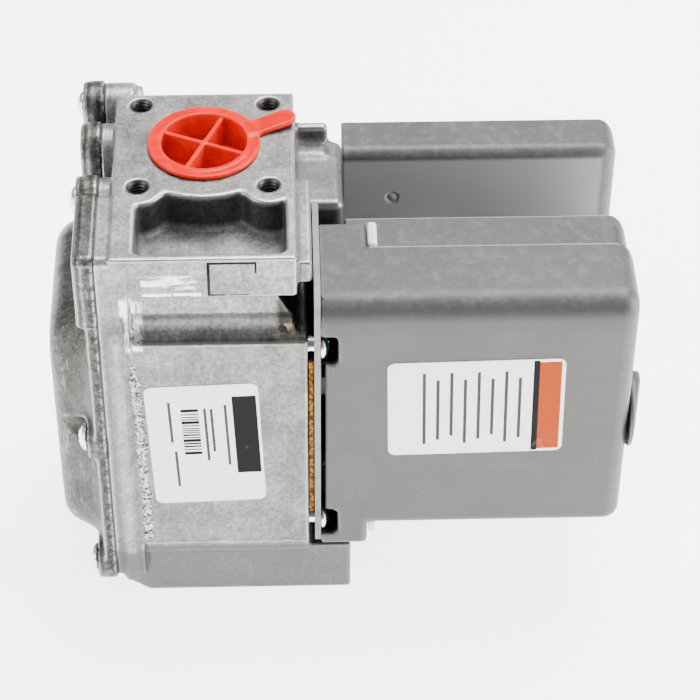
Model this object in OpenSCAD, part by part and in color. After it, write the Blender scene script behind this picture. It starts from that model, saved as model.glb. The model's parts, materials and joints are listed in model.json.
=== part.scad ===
// Combination gas control valve: die-cast body, diaphragm cover, two solenoids, servo regulator and
// an electronics housing. The origin is on the port axis at the outlet face, +Z runs up to the inlet
// face, +X points at the housing and +Y at the back.

/* [Body] */
// Height from the outlet face to the inlet face
body_h = 95; // [95:1:115]
// Distance from the port axis to the front face
front_d = 34.2; // [34:0.1:40]
// Distance from the port axis to the back face
back_d = 21.5; // [21:0.1:26]
// Distance from the port axis to the cover's joint face
cover_side = 20.3; // [20:0.1:24]
// Distance from the port axis to the plate's joint face
plate_side = 19.8; // [19.5:0.1:24]
// Thickness of the body's flange at the cover joint
joint_flange_t = 5.8; // [5:0.1:8]
// Radius of the gas ports
port_r = 9.5; // [7:0.1:10]

/* [Flanges] */
// Side of the square flange faces
flange_w = 35.6; // [35:0.1:38]
// Distance from the port axis to the flanges' back edge
flange_back = 16.4; // [16:0.1:19]
// Height of the inlet flange
flange_t = 9.7; // [9:0.1:12]
// Height of the outlet block
outlet_t = 13.4; // [12:0.1:14]
// Distance from the port axis to the outlet block's right end
outlet_right = 28.5; // [24:0.5:34]
// Spacing of the flange screws
bolt_pitch = 25.4; // [24:0.1:25.8]
// Radius of the inlet flange's tapped holes
tap_r = 1.73; // [1.4:0.01:2.1]
// Radius of the outlet flange's tapped holes
outlet_tap_r = 1.9; // [1.4:0.01:2.1]
// Height of the chamfer at the mouth of each tapped hole
tap_chamfer = 0.4; // [0.1:0.05:0.45]
// Depth of the tapped flange holes
tap_depth = 9; // [6:0.5:9.5]
// Depth of the casting pocket in the inlet flange
pocket_d = 8; // [5:0.5:9]

/* [Cover] */
// Thickness of the cover's rim
cover_t = 2.2; // [2:0.1:4]
// Extra thickness of the cover along its top edge
cover_step = 1.6; // [1:0.1:3]
// Wall of the dome
dome_wall = 2; // [1.6:0.1:3]
// Width of the dome at its foot, from front to back
dome_w = 48; // [46:0.5:50]
// Height of the dome's foot, from its lower to its upper edge
dome_len = 60; // [50:0.5:64]
// How far the dome's flat top is drawn in from its foot
dome_inset = 6.5; // [5:0.1:7]
// Height of the dome above the rim
dome_h = 8.6; // [7:0.1:14]
// Height of the dome's centre
dome_z = 38; // [37:0.5:42]
// Height of the main valve's axis
main_z = 45; // [44.5:0.1:46]
// Distance of the main valve's axis in front of the port axis
main_front = 6.2; // [6:0.1:7]

/* [Main valve] */
// Thickness of the rubber diaphragm
diaphragm_t = 0.5; // [0.4:0.1:1]
// Radius of the chamber behind the diaphragm
chamber_r = 20.5; // [19.5:0.1:21]
// Radius of the main seat's bore
seat_r = 8.5; // [6:0.1:8.7]
// Radius of the main valve's stem
stem_r = 2; // [1.5:0.1:3]

/* [Plate and gasket] */
// Thickness of the cork gasket
gasket_t = 1.2; // [0.8:0.1:2]
// Thickness of the steel plate
plate_t = 1.2; // [1:0.1:2]
// Height of the plate's lower edge
plate_z0 = 17; // [16.5:0.5:19]
// Height of the gasket's lower edge
gasket_z0 = 25.3; // [24.5:0.1:25.5]
// Height of the gasket from its lower to its upper edge
gasket_h = 43.3; // [43:0.1:44]

/* [Housing] */
// Distance from the plate to the housing's end face
housing_l = 61.9; // [58:0.1:76]
// Wall of the housing
wall = 1.8; // [1.5:0.1:2.2]
// Depth of the front lobe
front_lobe_d = 17.9; // [17:0.1:19]
// Width of the valley between the middle strip and the rear lobe
valley_w = 15; // [15:0.1:16]
// Depth of the rear lobe
rear_lobe_d = 10.5; // [10:0.1:13]
// Height of the housing's lower face
housing_z0 = 21.3; // [20:0.1:21.5]
// Height of the front lobe's top below the inlet face
lobe_drop = 12.5; // [11:0.1:13]
// How far the middle strip lies below the front lobe's top
strip_drop = 4; // [3:0.1:5]
// Height of the valley's floor
valley_z = 49.5; // [49:0.1:50]
// Length of the collar at the plate
collar_l = 9.6; // [8:0.1:11]
// Radius of the lobes' end corners
lobe_r = 4; // [3:0.1:4.5]

/* [Solenoids] */
// Radius of the coil windings
coil_r = 8; // [7:0.1:8.2]
// Length of the coil bobbins
coil_l = 26; // [24:0.5:30]
// Radius of the plungers
plunger_r = 4; // [3:0.1:4.2]
// Wall of the guide tubes
tube_wall = 0.6; // [0.4:0.05:0.8]
// Travel of the plungers
plunger_travel = 1.5; // [0.8:0.1:1.8]

/* [Regulator] */
// Radius of the regulator tower
tower_r = 6.3; // [6:0.1:6.6]
// Length of the regulator tower
tower_l = 28; // [26:0.5:34]
// Radius of the tower's bore
tower_bore_r = 4.6; // [4.2:0.1:4.8]
// Radius of the regulator's diaphragm
reg_diaphragm_r = 7.4; // [7:0.1:7.6]

/* [Controls] */
// Radius of the on/off knob
knob_r = 8.5; // [7:0.1:9]
// Height of the knob above the end face
knob_h = 0.9; // [0.8:0.1:3]
// Height of the knob's grip bar
grip_h = 1.5; // [1:0.1:8]
// Radius of the knob's shaft
shaft_r = 2.5; // [2:0.1:3]

/* [Inlet plug] */
// Outer radius of the plug's rim
plug_rim_r = 11.15; // [10.5:0.05:12]
// Thickness of the plug's rim and walls
plug_wall = 1; // [0.8:0.1:1.2]
// Depth of the plug's cup below the inlet face
plug_depth = 6; // [4:0.5:9]
// Length of the pull tab from the port axis to its end
tab_l = 19.6; // [16:0.1:24]
// Width of the pull tab
tab_w = 4.4; // [3:0.1:6]

/* [Fasteners] */
// Radius of the screw shanks
screw_r = 1.7; // [1.4:0.05:2]
// Radius of the screw heads
head_r = 3; // [2.6:0.1:3.3]
// Height of the screw heads
head_h = 2; // [1.5:0.1:2.5]
// Radius of the pressure tap plugs
tap_plug_r = 4.3; // [3.5:0.1:4.6]

/* [Labels] */
// Width of the rating label
rating_w = 22.5; // [16:0.5:24]
// Height of the rating label
rating_h = 33; // [20:0.5:36]
// Width of the housing label
notice_w = 35; // [20:0.5:38]
// Height of the housing label
notice_h = 25.5; // [16:0.5:28]

/* [Hidden] */
$fn = 48;
eps = 0.01;
// Running gap between parts that move against each other, and slack of a part in its pocket
run_gap = 0.3;
slip = 0.05;

// Radius of a hole that a screw passes through
clear_r = screw_r + 0.2;

// Flanges, neck and lower body
half_w = flange_w / 2;
half_pitch = bolt_pitch / 2;
lower_top = body_h - 21.5;
lip_z = 16;
lip_d = 1.2;
flange_z = body_h - flange_t;
neck_slope_d = 2.4;
neck_hollow_r = 3.2;
tap_flare = 0.6;

// Casting pocket: its front rib, left edge and width, and the bosses that it goes round
pocket_rib = 1.9;
pocket_left = -12.9;
pocket_w = 28.7;
port_boss_r = port_r + 6.5;
screw_boss_r = tap_r + 3.47;

// Outlet block: its left side, how far its front is set back, and its cut corner along x and y
outlet_left = -18.7;
outlet_setback = 1.8;
outlet_cut = [4.5, 3];

// Gas ways: where the two port bores end, and the link from the port to the first valve
inlet_way_z = 58;
outlet_way_l = 47;
link_xz = [10, 62];
link_bore_r = 4;

// Cover joint, counted along -X from the port axis
diaphragm_x = -cover_side;
cover_x = diaphragm_x - diaphragm_t;
rim_x = cover_x - cover_t;
boss_face_x = rim_x - cover_step;
dome_x = rim_x - dome_h;
cover_z0 = 5;
cover_r = 4;
dome_corner = 17;
// Profile of the dome as [height above the rim, share of the inset]
dome_steps = [[-0.2, 0], [0.6, 0.1], [dome_h * 0.72, 0.66], [dome_h * 0.93, 0.85], [dome_h, 1.1]];
hollow_r = 16.5;
cover_screw_l = 8.6;
// Depth of their holes in the body, short of the tapped flange holes
cover_hole_l = 4.6;

// Main valve: seat, chamber floor, disc, seal, diaphragm plates and spring
main_yz = [-main_front, main_z];
main_seat_x = -13;
chamber_floor_x = -8;
seat_ring_w = 2.5;
main_seal_t = 1.5;
disc_x1 = main_seat_x - main_seal_t - run_gap;
disc_t = 1.6;
disc_r = seat_r + 2;
plates_r = hollow_r - 2.6;
plate_disc_t = 0.9;
rivet_h = 0.6;
bead_r = 1.8;
main_spring_r = 6;
main_wire = 0.9;
main_spring_x1 = cover_x - plate_disc_t - slip;
main_spring_l = main_spring_x1 - dome_x - dome_wall - 0.1;

// Screw lobes of the cover as [y, z], the front ones first
screw_lobe_r = 4.4;
front_edge_screw = -front_d + 3.6;
back_edge_screw = back_d - 3.4;
cover_screws_yz = [
    [front_edge_screw, 9],
    [front_edge_screw, main_z],
    [-10.6, body_h - 5],
    [back_d - 0.6, body_h - 6],
    [back_edge_screw, main_z],
    [back_edge_screw, 9],
];
// The lug between the two upper screws carries no screw
lug_yz = [5.8, body_h - 5.6];
lug_r = 5.2;
top_screws = [2, 3];

// Plate side, counted along +X
gasket_x = plate_side;
plate_x = gasket_x + gasket_t;
housing_x = plate_x + plate_t;
housing_end = housing_x + housing_l;
plate_top = body_h - 7;
plate_step_z = body_h - 24;
collar_back = -9.4;

// Housing outline
housing_front = -front_d - 0.3;
housing_d = 56.6;
housing_back = housing_front + housing_d;
strip_back = housing_back - rear_lobe_d - valley_w;
lobe_top = body_h - lobe_drop;
strip_top = lobe_top - strip_drop;
rear_top = lobe_top + 0.5;
collar_z0 = 15.7;
collar_end = housing_x + collar_l;
collar_foot_h = 12;
boss_gap = 1.7;
notch_h = 7.2;
notch_l = 3.4;
notch_r = 1.2;
gate_xz = [38, lobe_top - 11.5];
gate_r = 0.8;
clip_x = collar_end + slip;
clip_t = 1.9;
clip_y0 = -16.4;
clip_w = 6.9;
foot_clip_w = 5;
plate_screw_l = 7.5;
housing_screw_l = 6;
housing_screw_zs = [30, 62];

// Side boss beside the inlet flange
boss_right = 26.9;
boss_front = -6.8;
boss_back = 13.8;
boss_top = body_h - 10;
boss_z0 = body_h - 23;
boss_corner = 3;
step_d = 11;
step_w = 12.5;
web_h = 5;
web_drop = 7.5;

// First solenoid, servo solenoid and regulator as [y, z]
first_yz = [-15.5, 57];
servo_yz = [3, 34];
reg_yz = [4, 58];
solenoids_yz = [first_yz, servo_yz];
first_pocket_r = 9;
servo_pocket_r = 7;
reg_pocket_r = 8;
first_seat_x = 3;
servo_seat_x = 12;
reg_seat_x = 15.5;
link_r = 3.2;
bleed_r = 1;
bleed_seat_r = 2.4;

// Guide tube, core and plunger along +X
tube_ir = plunger_r + slip;
tube_r = tube_ir + tube_wall;
coil_x = housing_x + 1.5;
yoke_t = 1.4;
flange_tube_t = 1;
tube_end = coil_x + coil_l + yoke_t;
core_l = 9;
core_x = tube_end - core_l;
plunger_end = core_x - plunger_travel - run_gap;
seal_t = 1.6;
seal_step = 0.9;
seat_lip = 1;
nose_l = 0.8;
spring_bore_r = 1.8;
return_wire = 0.4;

// Regulator along +X
cap_l = 4;
adjuster_l = 6;
tower_end = housing_x + tower_l;
adjuster_x = tower_end - cap_l - adjuster_l;
reg_sheet_x = plate_side - 1.1;
reg_sheet_t = 0.5;
reg_bead_w = 1.2;
cup_l = 5;
cup_wall = 0.6;
reg_spring_x0 = plate_side + 0.25;
reg_spring_r = 2.8;
reg_wire = 0.7;

// Pressure taps on the back of the body as [z, boss radius]
inlet_tap_z = body_h - 18;
outlet_tap_z = 22;

// Plate screws as [y, z]
plate_screws_yz = [
    [-front_d + 2.8, body_h - 24.8],
    [-front_d + 2.8, plate_z0 + 4.6],
    [housing_back - rear_lobe_d / 2, plate_step_z - 4],
    [housing_back - rear_lobe_d / 2, plate_z0 + 4.6],
];

// Circuit board behind the front wall
board_y = housing_front + wall + 1;
board_t = 1.6;
board_x0 = housing_x + 4;
board_x1 = housing_end - 8;
board_z0 = housing_z0 + wall + 1.2;
board_z1 = lobe_top - wall - 1.2;
parts_y = board_y + board_t;

relay_size = [16, 9, 10];
transformer_size = [16, 10, 13];
transformer_x = board_x0 + 24;
capacitor_r = 3.2;
capacitor_h = 7;
capacitor_pitch = 8;

knob_yz = [housing_front + 9, 46.5];
grip_w = 3.2;
switch_x1 = housing_end - wall - 2;
switch_w = 9;
rotor_l = 6;
rotor_r = shaft_r + 0.4;

socket_x = 50;
socket_w = 20;
socket_d = 9;
socket_h = 9;
socket_wall = 1.2;
pin_w = 0.7;
pin_pitch = 4;
pin_rows_y = [2.8, 5.8];

// Directions of the inlet plug's tab and of its two ribs
tab_angle = 23;
rib_angles = [-24, 66];

// Tap plugs: length, and size of the hexagon socket
tap_plug_l = 7;
hex_r = 2.4;
tap_boss_r = tap_plug_r + 2.6;

// Labels: thickness, centres as [x, z] and tilts
label_t = 0.15;
label_corner = 1.6;
rating_at = [-0.8, 45.7];
rating_tilt = 2.2;
notice_at = [53, 55.2];
notice_tilt = 1.2;

// ---- helpers ----

// Extrudes a (y, z) outline along +X from x0
module along_x(x0, length) translate([x0, 0, 0]) rotate([90, 0, 90]) linear_extrude(length) children();

// Extrudes an (x, z) outline along +Y from y0
module along_y(y0, length)
    translate([0, y0 + length, 0]) rotate([90, 0, 0]) linear_extrude(length) children();

// Round bar along +X through (y, z)
module bar_x(x0, length, yz, r) translate([x0, yz[0], yz[1]]) rotate([0, 90, 0]) cylinder(h = length, r = r);

// Round bar along +Y through (x, z)
module bar_y(y0, length, xz, r) translate([xz[0], y0, xz[1]]) rotate([-90, 0, 0]) cylinder(h = length, r = r);

// Turns an (r, h) profile about an axis along X, with h towards +X
module turned_right(x0, yz) translate([x0, yz[0], yz[1]]) rotate([0, 90, 0]) rotate_extrude() children();

// Turns an (r, h) profile about an axis along X, with h towards -X
module turned_left(x0, yz) translate([x0, yz[0], yz[1]]) rotate([0, -90, 0]) rotate_extrude() children();

// Rectangle from (x0, y0) with round corners of radius r
module rounded(x0, y0, w, h, r) {
    translate([x0 + r, y0]) square([w - 2 * r, h]);
    translate([x0, y0 + r]) square([w, h - 2 * r]);
    for (x = [x0 + r, x0 + w - r], y = [y0 + r, y0 + h - r]) translate([x, y]) circle(r);
}

// Pan-head screw whose head rests at the origin and whose shank runs along -Z
module screw(length) {
    rotate_extrude() polygon([
        [0, -length], [screw_r - slip, -length], [screw_r - slip, 0], [head_r, 0], [head_r, head_h * 0.5],
        [head_r * 0.87, head_h * 0.83], [head_r * 0.5, head_h], [0, head_h],
    ]);
}

// Round wire coiled about +Z from z = 0 to z = height
module coil_spring(r, wire, height, turns) {
    sides = 6;
    steps = turns * 14;
    pitch = (height - wire) / turns;
    rings = [for (i = [0 : steps], k = [0 : sides - 1])
        let (a = 360 * turns * i / steps, b = 360 * k / sides, q = r + wire / 2 * cos(b))
        [q * cos(a), q * sin(a), wire / 2 + pitch * a / 360 + wire / 2 * sin(b)]];
    skin = [for (i = [0 : steps - 1], k = [0 : sides - 1])
        let (k1 = (k + 1) % sides, a = i * sides, b = a + sides)
        [a + k, b + k, b + k1, a + k1]];
    ends = [[for (k = [0 : sides - 1]) k], [for (k = [sides - 1 : -1 : 0]) steps * sides + k]];
    polyhedron(points = rings, faces = concat(skin, ends), convexity = 8);
}

// ---- valve body ----

// Joint outline between the body and the cover, in (y, z)
module cover_outline() {
    rounded(-front_d, cover_z0, front_d + back_d, body_h - 17 - cover_z0, cover_r);
    rounded(-front_d, body_h - 30, 20, 29.8, 1.5);
    for (i = top_screws) {
        yz = cover_screws_yz[i];
        translate(yz) circle(screw_lobe_r);
        translate([yz[0] - screw_lobe_r, yz[1] - 16]) square([2 * screw_lobe_r, 16]);
    }
    translate(lug_yz) circle(lug_r);
    translate([lug_yz[0] - lug_r, lug_yz[1] - 16]) square([2 * lug_r, 16]);
}

// Four tapped holes of radius r that run up (inward = 1) or down (inward = -1) from a flange face
module flange_holes(face_z, inward, r) {
    for (x = [-half_pitch, half_pitch], y = [-half_pitch, half_pitch]) translate([x, y, face_z]) {
        translate([0, 0, inward > 0 ? -eps : -tap_depth]) cylinder(h = tap_depth + eps, r = r);
        mirror([0, 0, inward > 0 ? 0 : 1]) translate([0, 0, -eps])
            cylinder(h = tap_chamfer, r1 = r + tap_flare, r2 = r);
    }
}

// Pocket cast into the top of the inlet flange, scalloped around the port and the two front bosses
module flange_pocket() {
    translate([0, 0, body_h - pocket_d]) linear_extrude(pocket_d + 1) difference() {
        rounded(pocket_left, -front_d + pocket_rib, pocket_w, front_d - 10, 1.6);
        circle(port_boss_r);
        for (x = [-half_pitch, half_pitch]) translate([x, -half_pitch]) circle(screw_boss_r);
    }
}

// Front of the neck: a slanting face above a hollow band
module neck_relief() {
    along_x(-cover_side + joint_flange_t, 60) {
        polygon([
            [-front_d - 1, flange_z], [-front_d, flange_z], [-front_d + neck_slope_d - 1, flange_z - 0.8],
            [-front_d + neck_slope_d, flange_z - 6], [-front_d + neck_slope_d, lower_top + 3],
            [-front_d, lower_top], [-front_d - 1, lower_top],
        ]);
        translate([-front_d + 0.6, lower_top + neck_hollow_r + 0.2]) circle(neck_hollow_r);
    }
}

module body_shell() {
    // Inlet flange and the neck under it
    translate([0, 0, flange_z]) linear_extrude(flange_t)
        rounded(-half_w, -front_d, flange_w, front_d + flange_back, 0.8);
    translate([-cover_side + 3, -front_d, lower_top - 1]) cube([half_w + cover_side - 3, front_d + 15, 14]);
    // Lower body, whose front overhangs the outlet block by a lip
    translate([-cover_side + 3, -front_d, lip_z])
        cube([plate_side + cover_side - 3, front_d + back_d, lower_top - lip_z]);
    translate([-cover_side + 3, lip_d - front_d, outlet_t - 1])
        cube([plate_side + cover_side - 3, front_d + back_d - lip_d, lip_z - outlet_t + 2]);
    // Outlet block with its front left corner cut off
    linear_extrude(outlet_t) polygon([
        [outlet_left + outlet_cut[0], outlet_setback - front_d], [outlet_right, outlet_setback - front_d],
        [outlet_right, flange_back], [outlet_left, flange_back],
        [outlet_left, outlet_setback + outlet_cut[1] - front_d],
    ]);
    // Joint flange for the cover
    along_x(-cover_side, joint_flange_t) cover_outline();
    // Side boss and its smaller rear step
    translate([0, 0, boss_z0]) linear_extrude(boss_top - boss_z0)
        rounded(half_w - 6, boss_front, boss_right - half_w + 6, boss_back - boss_front, boss_corner);
    translate([0, 0, boss_z0 + 1]) linear_extrude(boss_top - boss_z0)
        rounded(half_w - 6, boss_back - 6, step_w, step_d, boss_corner - 1);
    // Web from the boss to the front along the flange
    translate([half_w - 1, -front_d + 1.4, body_h - web_drop])
        cube([plate_x - half_w + 1 - run_gap, front_d - 8, web_h]);
    // Bosses for the pressure taps
    for (z = [inlet_tap_z, outlet_tap_z]) bar_y(0, back_d + 1.5, [0, z], tap_boss_r);
}

module gas_ways() {
    // Inlet and outlet ports
    translate([0, 0, inlet_way_z]) cylinder(h = body_h, r = port_r);
    translate([0, 0, -1]) cylinder(h = outlet_way_l + 1, r = port_r);
    // Pockets behind the plate and the ways that join them
    bar_x(first_seat_x, plate_side, first_yz, first_pocket_r);
    bar_x(servo_seat_x, plate_side, servo_yz, servo_pocket_r);
    bar_x(reg_seat_x, plate_side, reg_yz, reg_pocket_r);
    bar_x(-12, 20, first_yz, link_r);
    bar_x(6, 10, servo_yz, bleed_r);
    bar_y(first_yz[0], -first_yz[0], link_xz, link_bore_r);
    // Chamber of the main valve and the bore of its seat
    difference() {
        bar_x(-cover_side - 1, chamber_floor_x + cover_side + 1, main_yz, chamber_r);
        bar_x(main_seat_x, 10, main_yz, seat_r + seat_ring_w);
    }
    bar_x(main_seat_x - 1, 1 - main_seat_x, main_yz, seat_r);
    // Pressure taps
    for (z = [inlet_tap_z, outlet_tap_z]) bar_y(port_r - 2, back_d, [0, z], tap_plug_r + slip);
}

module valve_body() color("#b4b6b7") difference() {
    union() {
        difference() {
            body_shell();
            gas_ways();
            flange_pocket();
            neck_relief();
        }
        // Raised seat of the first valve
        difference() {
            bar_x(first_seat_x - eps, seat_lip, first_yz, link_r + 1.6);
            bar_x(first_seat_x - 1, 4, first_yz, link_r);
        }
        difference() {
            bar_x(servo_seat_x - eps, seat_lip, servo_yz, bleed_seat_r);
            bar_x(servo_seat_x - 1, 4, servo_yz, bleed_r);
        }
    }
    flange_holes(body_h, -1, tap_r);
    flange_holes(0, 1, outlet_tap_r);
    for (yz = cover_screws_yz) bar_x(-cover_side - 1, 1 + cover_hole_l, yz, screw_r);
    for (yz = plate_screws_yz) bar_x(plate_side - 9, 10, yz, screw_r);
}

// ---- cover side ----

module bottom_cover() color("#8f8a82") difference() {
    union() {
        along_x(rim_x, cover_t) cover_outline();
        // Thicker top edge and the bosses under the screw heads
        along_x(boss_face_x, cover_step + eps) intersection() {
            cover_outline();
            translate([-front_d, body_h - 17]) square([80, 30]);
        }
        for (yz = cover_screws_yz) bar_x(boss_face_x, cover_step + eps, yz, screw_lobe_r);
        // Dome with a flat top and a sloping skirt
        hull() for (step = dome_steps)
            dome_slice(rim_x - step[0], step[1] * dome_inset);
    }
    // Hollow of the dome
    turned_left(cover_x, main_yz) polygon([
        [0, -1], [chamber_r, -1], [chamber_r, cover_t], [hollow_r + 1.5, cover_t + dome_h * 0.5],
        [hollow_r, cover_t + dome_h - dome_wall], [0, cover_t + dome_h - dome_wall],
    ]);
    for (yz = cover_screws_yz) {
        bar_x(boss_face_x - 1, 20, yz, clear_r);
        // Room for the screw's head and a socket around it
        bar_x(boss_face_x - 12, 12, yz, head_r + 0.8);
    }
}

// Thin slice of the dome at x, drawn in by inset on every side
module dome_slice(x, inset) along_x(x - 0.01, 0.01)
    translate([-main_front, dome_z]) hull() for (y = [-1, 1], z = [-1, 1])
        translate([y * (dome_w / 2 - dome_corner), z * (dome_len / 2 - dome_corner)])
            circle(dome_corner - inset, $fn = 32);

module cover_screws() color("#d9dadb")
    for (yz = cover_screws_yz)
        translate([boss_face_x, yz[0], yz[1]]) rotate([0, -90, 0]) screw(cover_screw_l);

module main_diaphragm() color("#2a2a2b") difference() {
    union() {
        along_x(cover_x, diaphragm_t) cover_outline();
        // Convolution that lets the middle travel
        turned_left(diaphragm_x, main_yz) difference() {
            translate([hollow_r + 1, diaphragm_t - eps]) circle(bead_r);
            translate([hollow_r + 1, diaphragm_t - eps]) circle(bead_r - diaphragm_t);
            translate([0, -5]) square([40, 5]);
        }
    }
    turned_left(diaphragm_x, main_yz)
        translate([hollow_r + 1 - bead_r + 0.6, -eps]) square([2 * bead_r - 1.2, diaphragm_t + 2 * eps]);
    bar_x(cover_x - 1, 3, main_yz, stem_r + slip);
    for (yz = cover_screws_yz) bar_x(cover_x - 1, 3, yz, clear_r);
}

module diaphragm_plates() color("#c8c9ca") difference() {
    union() {
        bar_x(cover_x - plate_disc_t, plate_disc_t, main_yz, plates_r);
        bar_x(diaphragm_x, plate_disc_t, main_yz, plates_r);
    }
    bar_x(cover_x - 2, 10, main_yz, stem_r + slip);
}

module main_valve_disc() color("#c2c3c4") {
    // Stem through the diaphragm with a riveted head on the cover side
    bar_x(cover_x - plate_disc_t - rivet_h, disc_x1 - cover_x + plate_disc_t + rivet_h, main_yz, stem_r);
    bar_x(cover_x - plate_disc_t - 1, 1, main_yz, stem_r + 1.2);
    bar_x(disc_x1 - disc_t, disc_t, main_yz, disc_r);
}

module main_valve_seal() color("#3b3b3c") difference() {
    bar_x(disc_x1, main_seal_t, main_yz, disc_r);
    bar_x(disc_x1 - 1, 4, main_yz, seat_r - 1.5);
}

module main_spring() color("#d0d1d2")
    translate([main_spring_x1, -main_front, main_z]) rotate([0, -90, 0])
        coil_spring(main_spring_r, main_wire, main_spring_l, 4);

// ---- inlet ----

module inlet_screen() color("#9fa1a3") translate([0, 0, inlet_way_z]) difference() {
    cylinder(h = 4, r = port_r - slip);
    translate([0, 0, 0.6]) cylinder(h = 4, r = port_r - 0.8);
    for (i = [-3 : 3], j = [-3 : 3]) if (i * i + j * j < 11)
        translate([i * 2.2 - 0.7, j * 2.2 - 0.7, -1]) cube([1.4, 1.4, 3]);
}

module inlet_plug() color("#e8251c") {
    cup_r = port_r - slip;
    difference() {
        union() {
            translate([0, 0, body_h - plug_depth]) cylinder(h = plug_depth, r = cup_r);
            translate([0, 0, body_h]) cylinder(h = plug_wall, r = plug_rim_r);
            // Pull tab with a round end
            rotate(tab_angle) translate([plug_rim_r - 1, -tab_w / 2, body_h])
                cube([tab_l - tab_w / 2 - plug_rim_r + 1, tab_w, plug_wall]);
            rotate(tab_angle) translate([tab_l - tab_w / 2, 0, body_h])
                cylinder(h = plug_wall, r = tab_w / 2);
        }
        translate([0, 0, body_h - plug_depth + plug_wall]) cylinder(h = 20, r = cup_r - plug_wall);
    }
    // Cross rib across the cup
    for (a = rib_angles) rotate(a) translate([-cup_r + 0.5, -plug_wall / 2, body_h - plug_depth + 0.5])
        cube([2 * cup_r - 1, plug_wall, plug_depth + plug_wall - 1]);
}

// ---- plate side ----

module cork_gasket() color("#a9743a") difference() {
    along_x(gasket_x, gasket_t)
        translate([-front_d, gasket_z0]) square([front_d + back_d, gasket_h]);
    bar_x(gasket_x - 1, 5, first_yz, first_pocket_r);
    bar_x(gasket_x - 1, 5, servo_yz, servo_pocket_r);
    bar_x(gasket_x - 1, 5, reg_yz, reg_pocket_r);
    for (yz = plate_screws_yz) bar_x(gasket_x - 1, 5, yz, clear_r);
}

module plate_outline() {
    translate([-front_d, plate_z0]) square([front_d + back_d, plate_step_z - plate_z0]);
    translate([-front_d, plate_z0]) square([front_d + collar_back, plate_top - plate_z0]);
}

module top_plate() color("#9b9d9f") difference() {
    along_x(plate_x, plate_t) plate_outline();
    for (yz = solenoids_yz) bar_x(plate_x - 1, 5, yz, tube_r + slip);
    bar_x(plate_x - 1, 5, reg_yz, tower_bore_r);
    for (yz = plate_screws_yz) bar_x(plate_x - 1, 5, yz, clear_r);
}

module plate_screws() color("#dcdddd")
    for (yz = plate_screws_yz) translate([housing_x, yz[0], yz[1]]) rotate([0, 90, 0]) screw(plate_screw_l);

// ---- housing ----

// One lobe of the housing, from y0 to y1 and z0 to z1, with its edges rounded by r
module lobe(x0, x1, y0, y1, z0, z1, r) intersection() {
    along_x(x0, x1 - x0) rounded(y0, z0, y1 - y0, z1 - z0, r);
    translate([0, 0, z0]) linear_extrude(z1 - z0) {
        rounded(x0 + r, y0, x1 - x0 - r, y1 - y0, r);
        translate([x0, y0]) square([2 * r + 1, y1 - y0]);
    }
}

// The housing's outer shape, shrunk by t for its hollow
module housing_form(t) {
    x0 = t > 0 ? housing_x - 1 : housing_x;
    r = max(lobe_r - t, 1);
    lobe(x0, housing_end - t, housing_front + t, housing_front + front_lobe_d - t,
        housing_z0 + t, lobe_top - t, r);
    lobe(x0, housing_end - t, housing_front + t, strip_back - t, housing_z0 + t, strip_top - t, r);
    lobe(x0, housing_end - t, housing_front + t, housing_back - t, housing_z0 + t, valley_z - t, r);
    lobe(x0, housing_end - t, housing_back - rear_lobe_d + t, housing_back - t,
        housing_z0 + t, rear_top - t, r * 0.8);
    // Collar at the plate
    translate([x0, housing_front + t, collar_z0 + t])
        cube([collar_end - x0 - t, collar_back - housing_front - 2 * t, lobe_top - collar_z0 - 2 * t]);
    translate([x0, housing_front + t, collar_z0 + t])
        cube([collar_end - x0 - t, housing_d - 2 * t, collar_foot_h]);
}

module housing() color("#7d7f80") difference() {
    housing_form(0);
    housing_form(wall);
    // Room for the side boss
    translate([housing_x - 1, collar_back + eps, boss_z0 - 1.5])
        cube([boss_right - housing_x + boss_gap, 40, 30]);
    // Rounded notches around the plate screws at the front
    for (z = [plate_screws_yz[0][1] + 0.8, plate_screws_yz[1][1] + 0.8])
        along_y(housing_front - 1, 7)
            rounded(housing_x - 3, z - notch_h / 2, notch_l + 3, notch_h, notch_r);
    // The front wall stands a little off the plate between the notches
    translate([housing_x - 1, housing_front - 1, plate_screws_yz[1][1]])
        cube([2, wall + 1.02, plate_screws_yz[0][1] - plate_screws_yz[1][1]]);
    // Openings for the knob's shaft, the harness and the regulator tower
    bar_x(housing_end - wall - 1, 5, knob_yz, shaft_r + run_gap);
    translate([socket_x, parts_y, housing_z0 - 1]) cube([socket_w, socket_d, wall + 2]);
    // Mould gate mark on the rear lobe
    bar_y(housing_back - rear_lobe_d - 0.2, 0.5, gate_xz, gate_r);
    // Screw holes in the back wall's feet
    for (z = housing_screw_zs) bar_y(housing_back - 4, 10, [housing_x + 4, z], clear_r);
}

// Small clips that lock the collar, above and below
module housing_clips() color("#e6e6e2") {
    along_y(clip_y0, clip_w) difference() {
        rounded(clip_x, strip_top, clip_t, lobe_top - strip_top + 0.4, 0.8);
        translate([clip_x + 0.6, strip_top - 1]) square([0.7, 3]);
    }
    translate([clip_x + 0.3, housing_front + 1, housing_z0 - 3]) cube([clip_t - 0.5, foot_clip_w, 3]);
}

// Two screws hold the housing's back wall to a lug bent from the plate
module housing_screws() color("#d9dadb")
    for (z = housing_screw_zs) translate([housing_x + 4, housing_back, z])
        rotate([-90, 0, 0]) screw(housing_screw_l);

// ---- controls ----

// Low disc with an upright grip bar across it
module on_off_knob() color("#55575a") {
    bar_x(housing_end + run_gap, knob_h, knob_yz, knob_r);
    bar_x(switch_x1 + run_gap, housing_end - switch_x1, knob_yz, shaft_r);
    along_x(housing_end + run_gap + knob_h - eps, grip_h)
        rounded(knob_yz[0] - grip_w / 2, knob_yz[1] - knob_r + 0.2, grip_w, 2 * knob_r - 0.4, 1.4);
}

module switch_rotor() color("#d8d3c4") bar_x(switch_x1 - rotor_l, rotor_l + run_gap, knob_yz, rotor_r);

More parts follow.
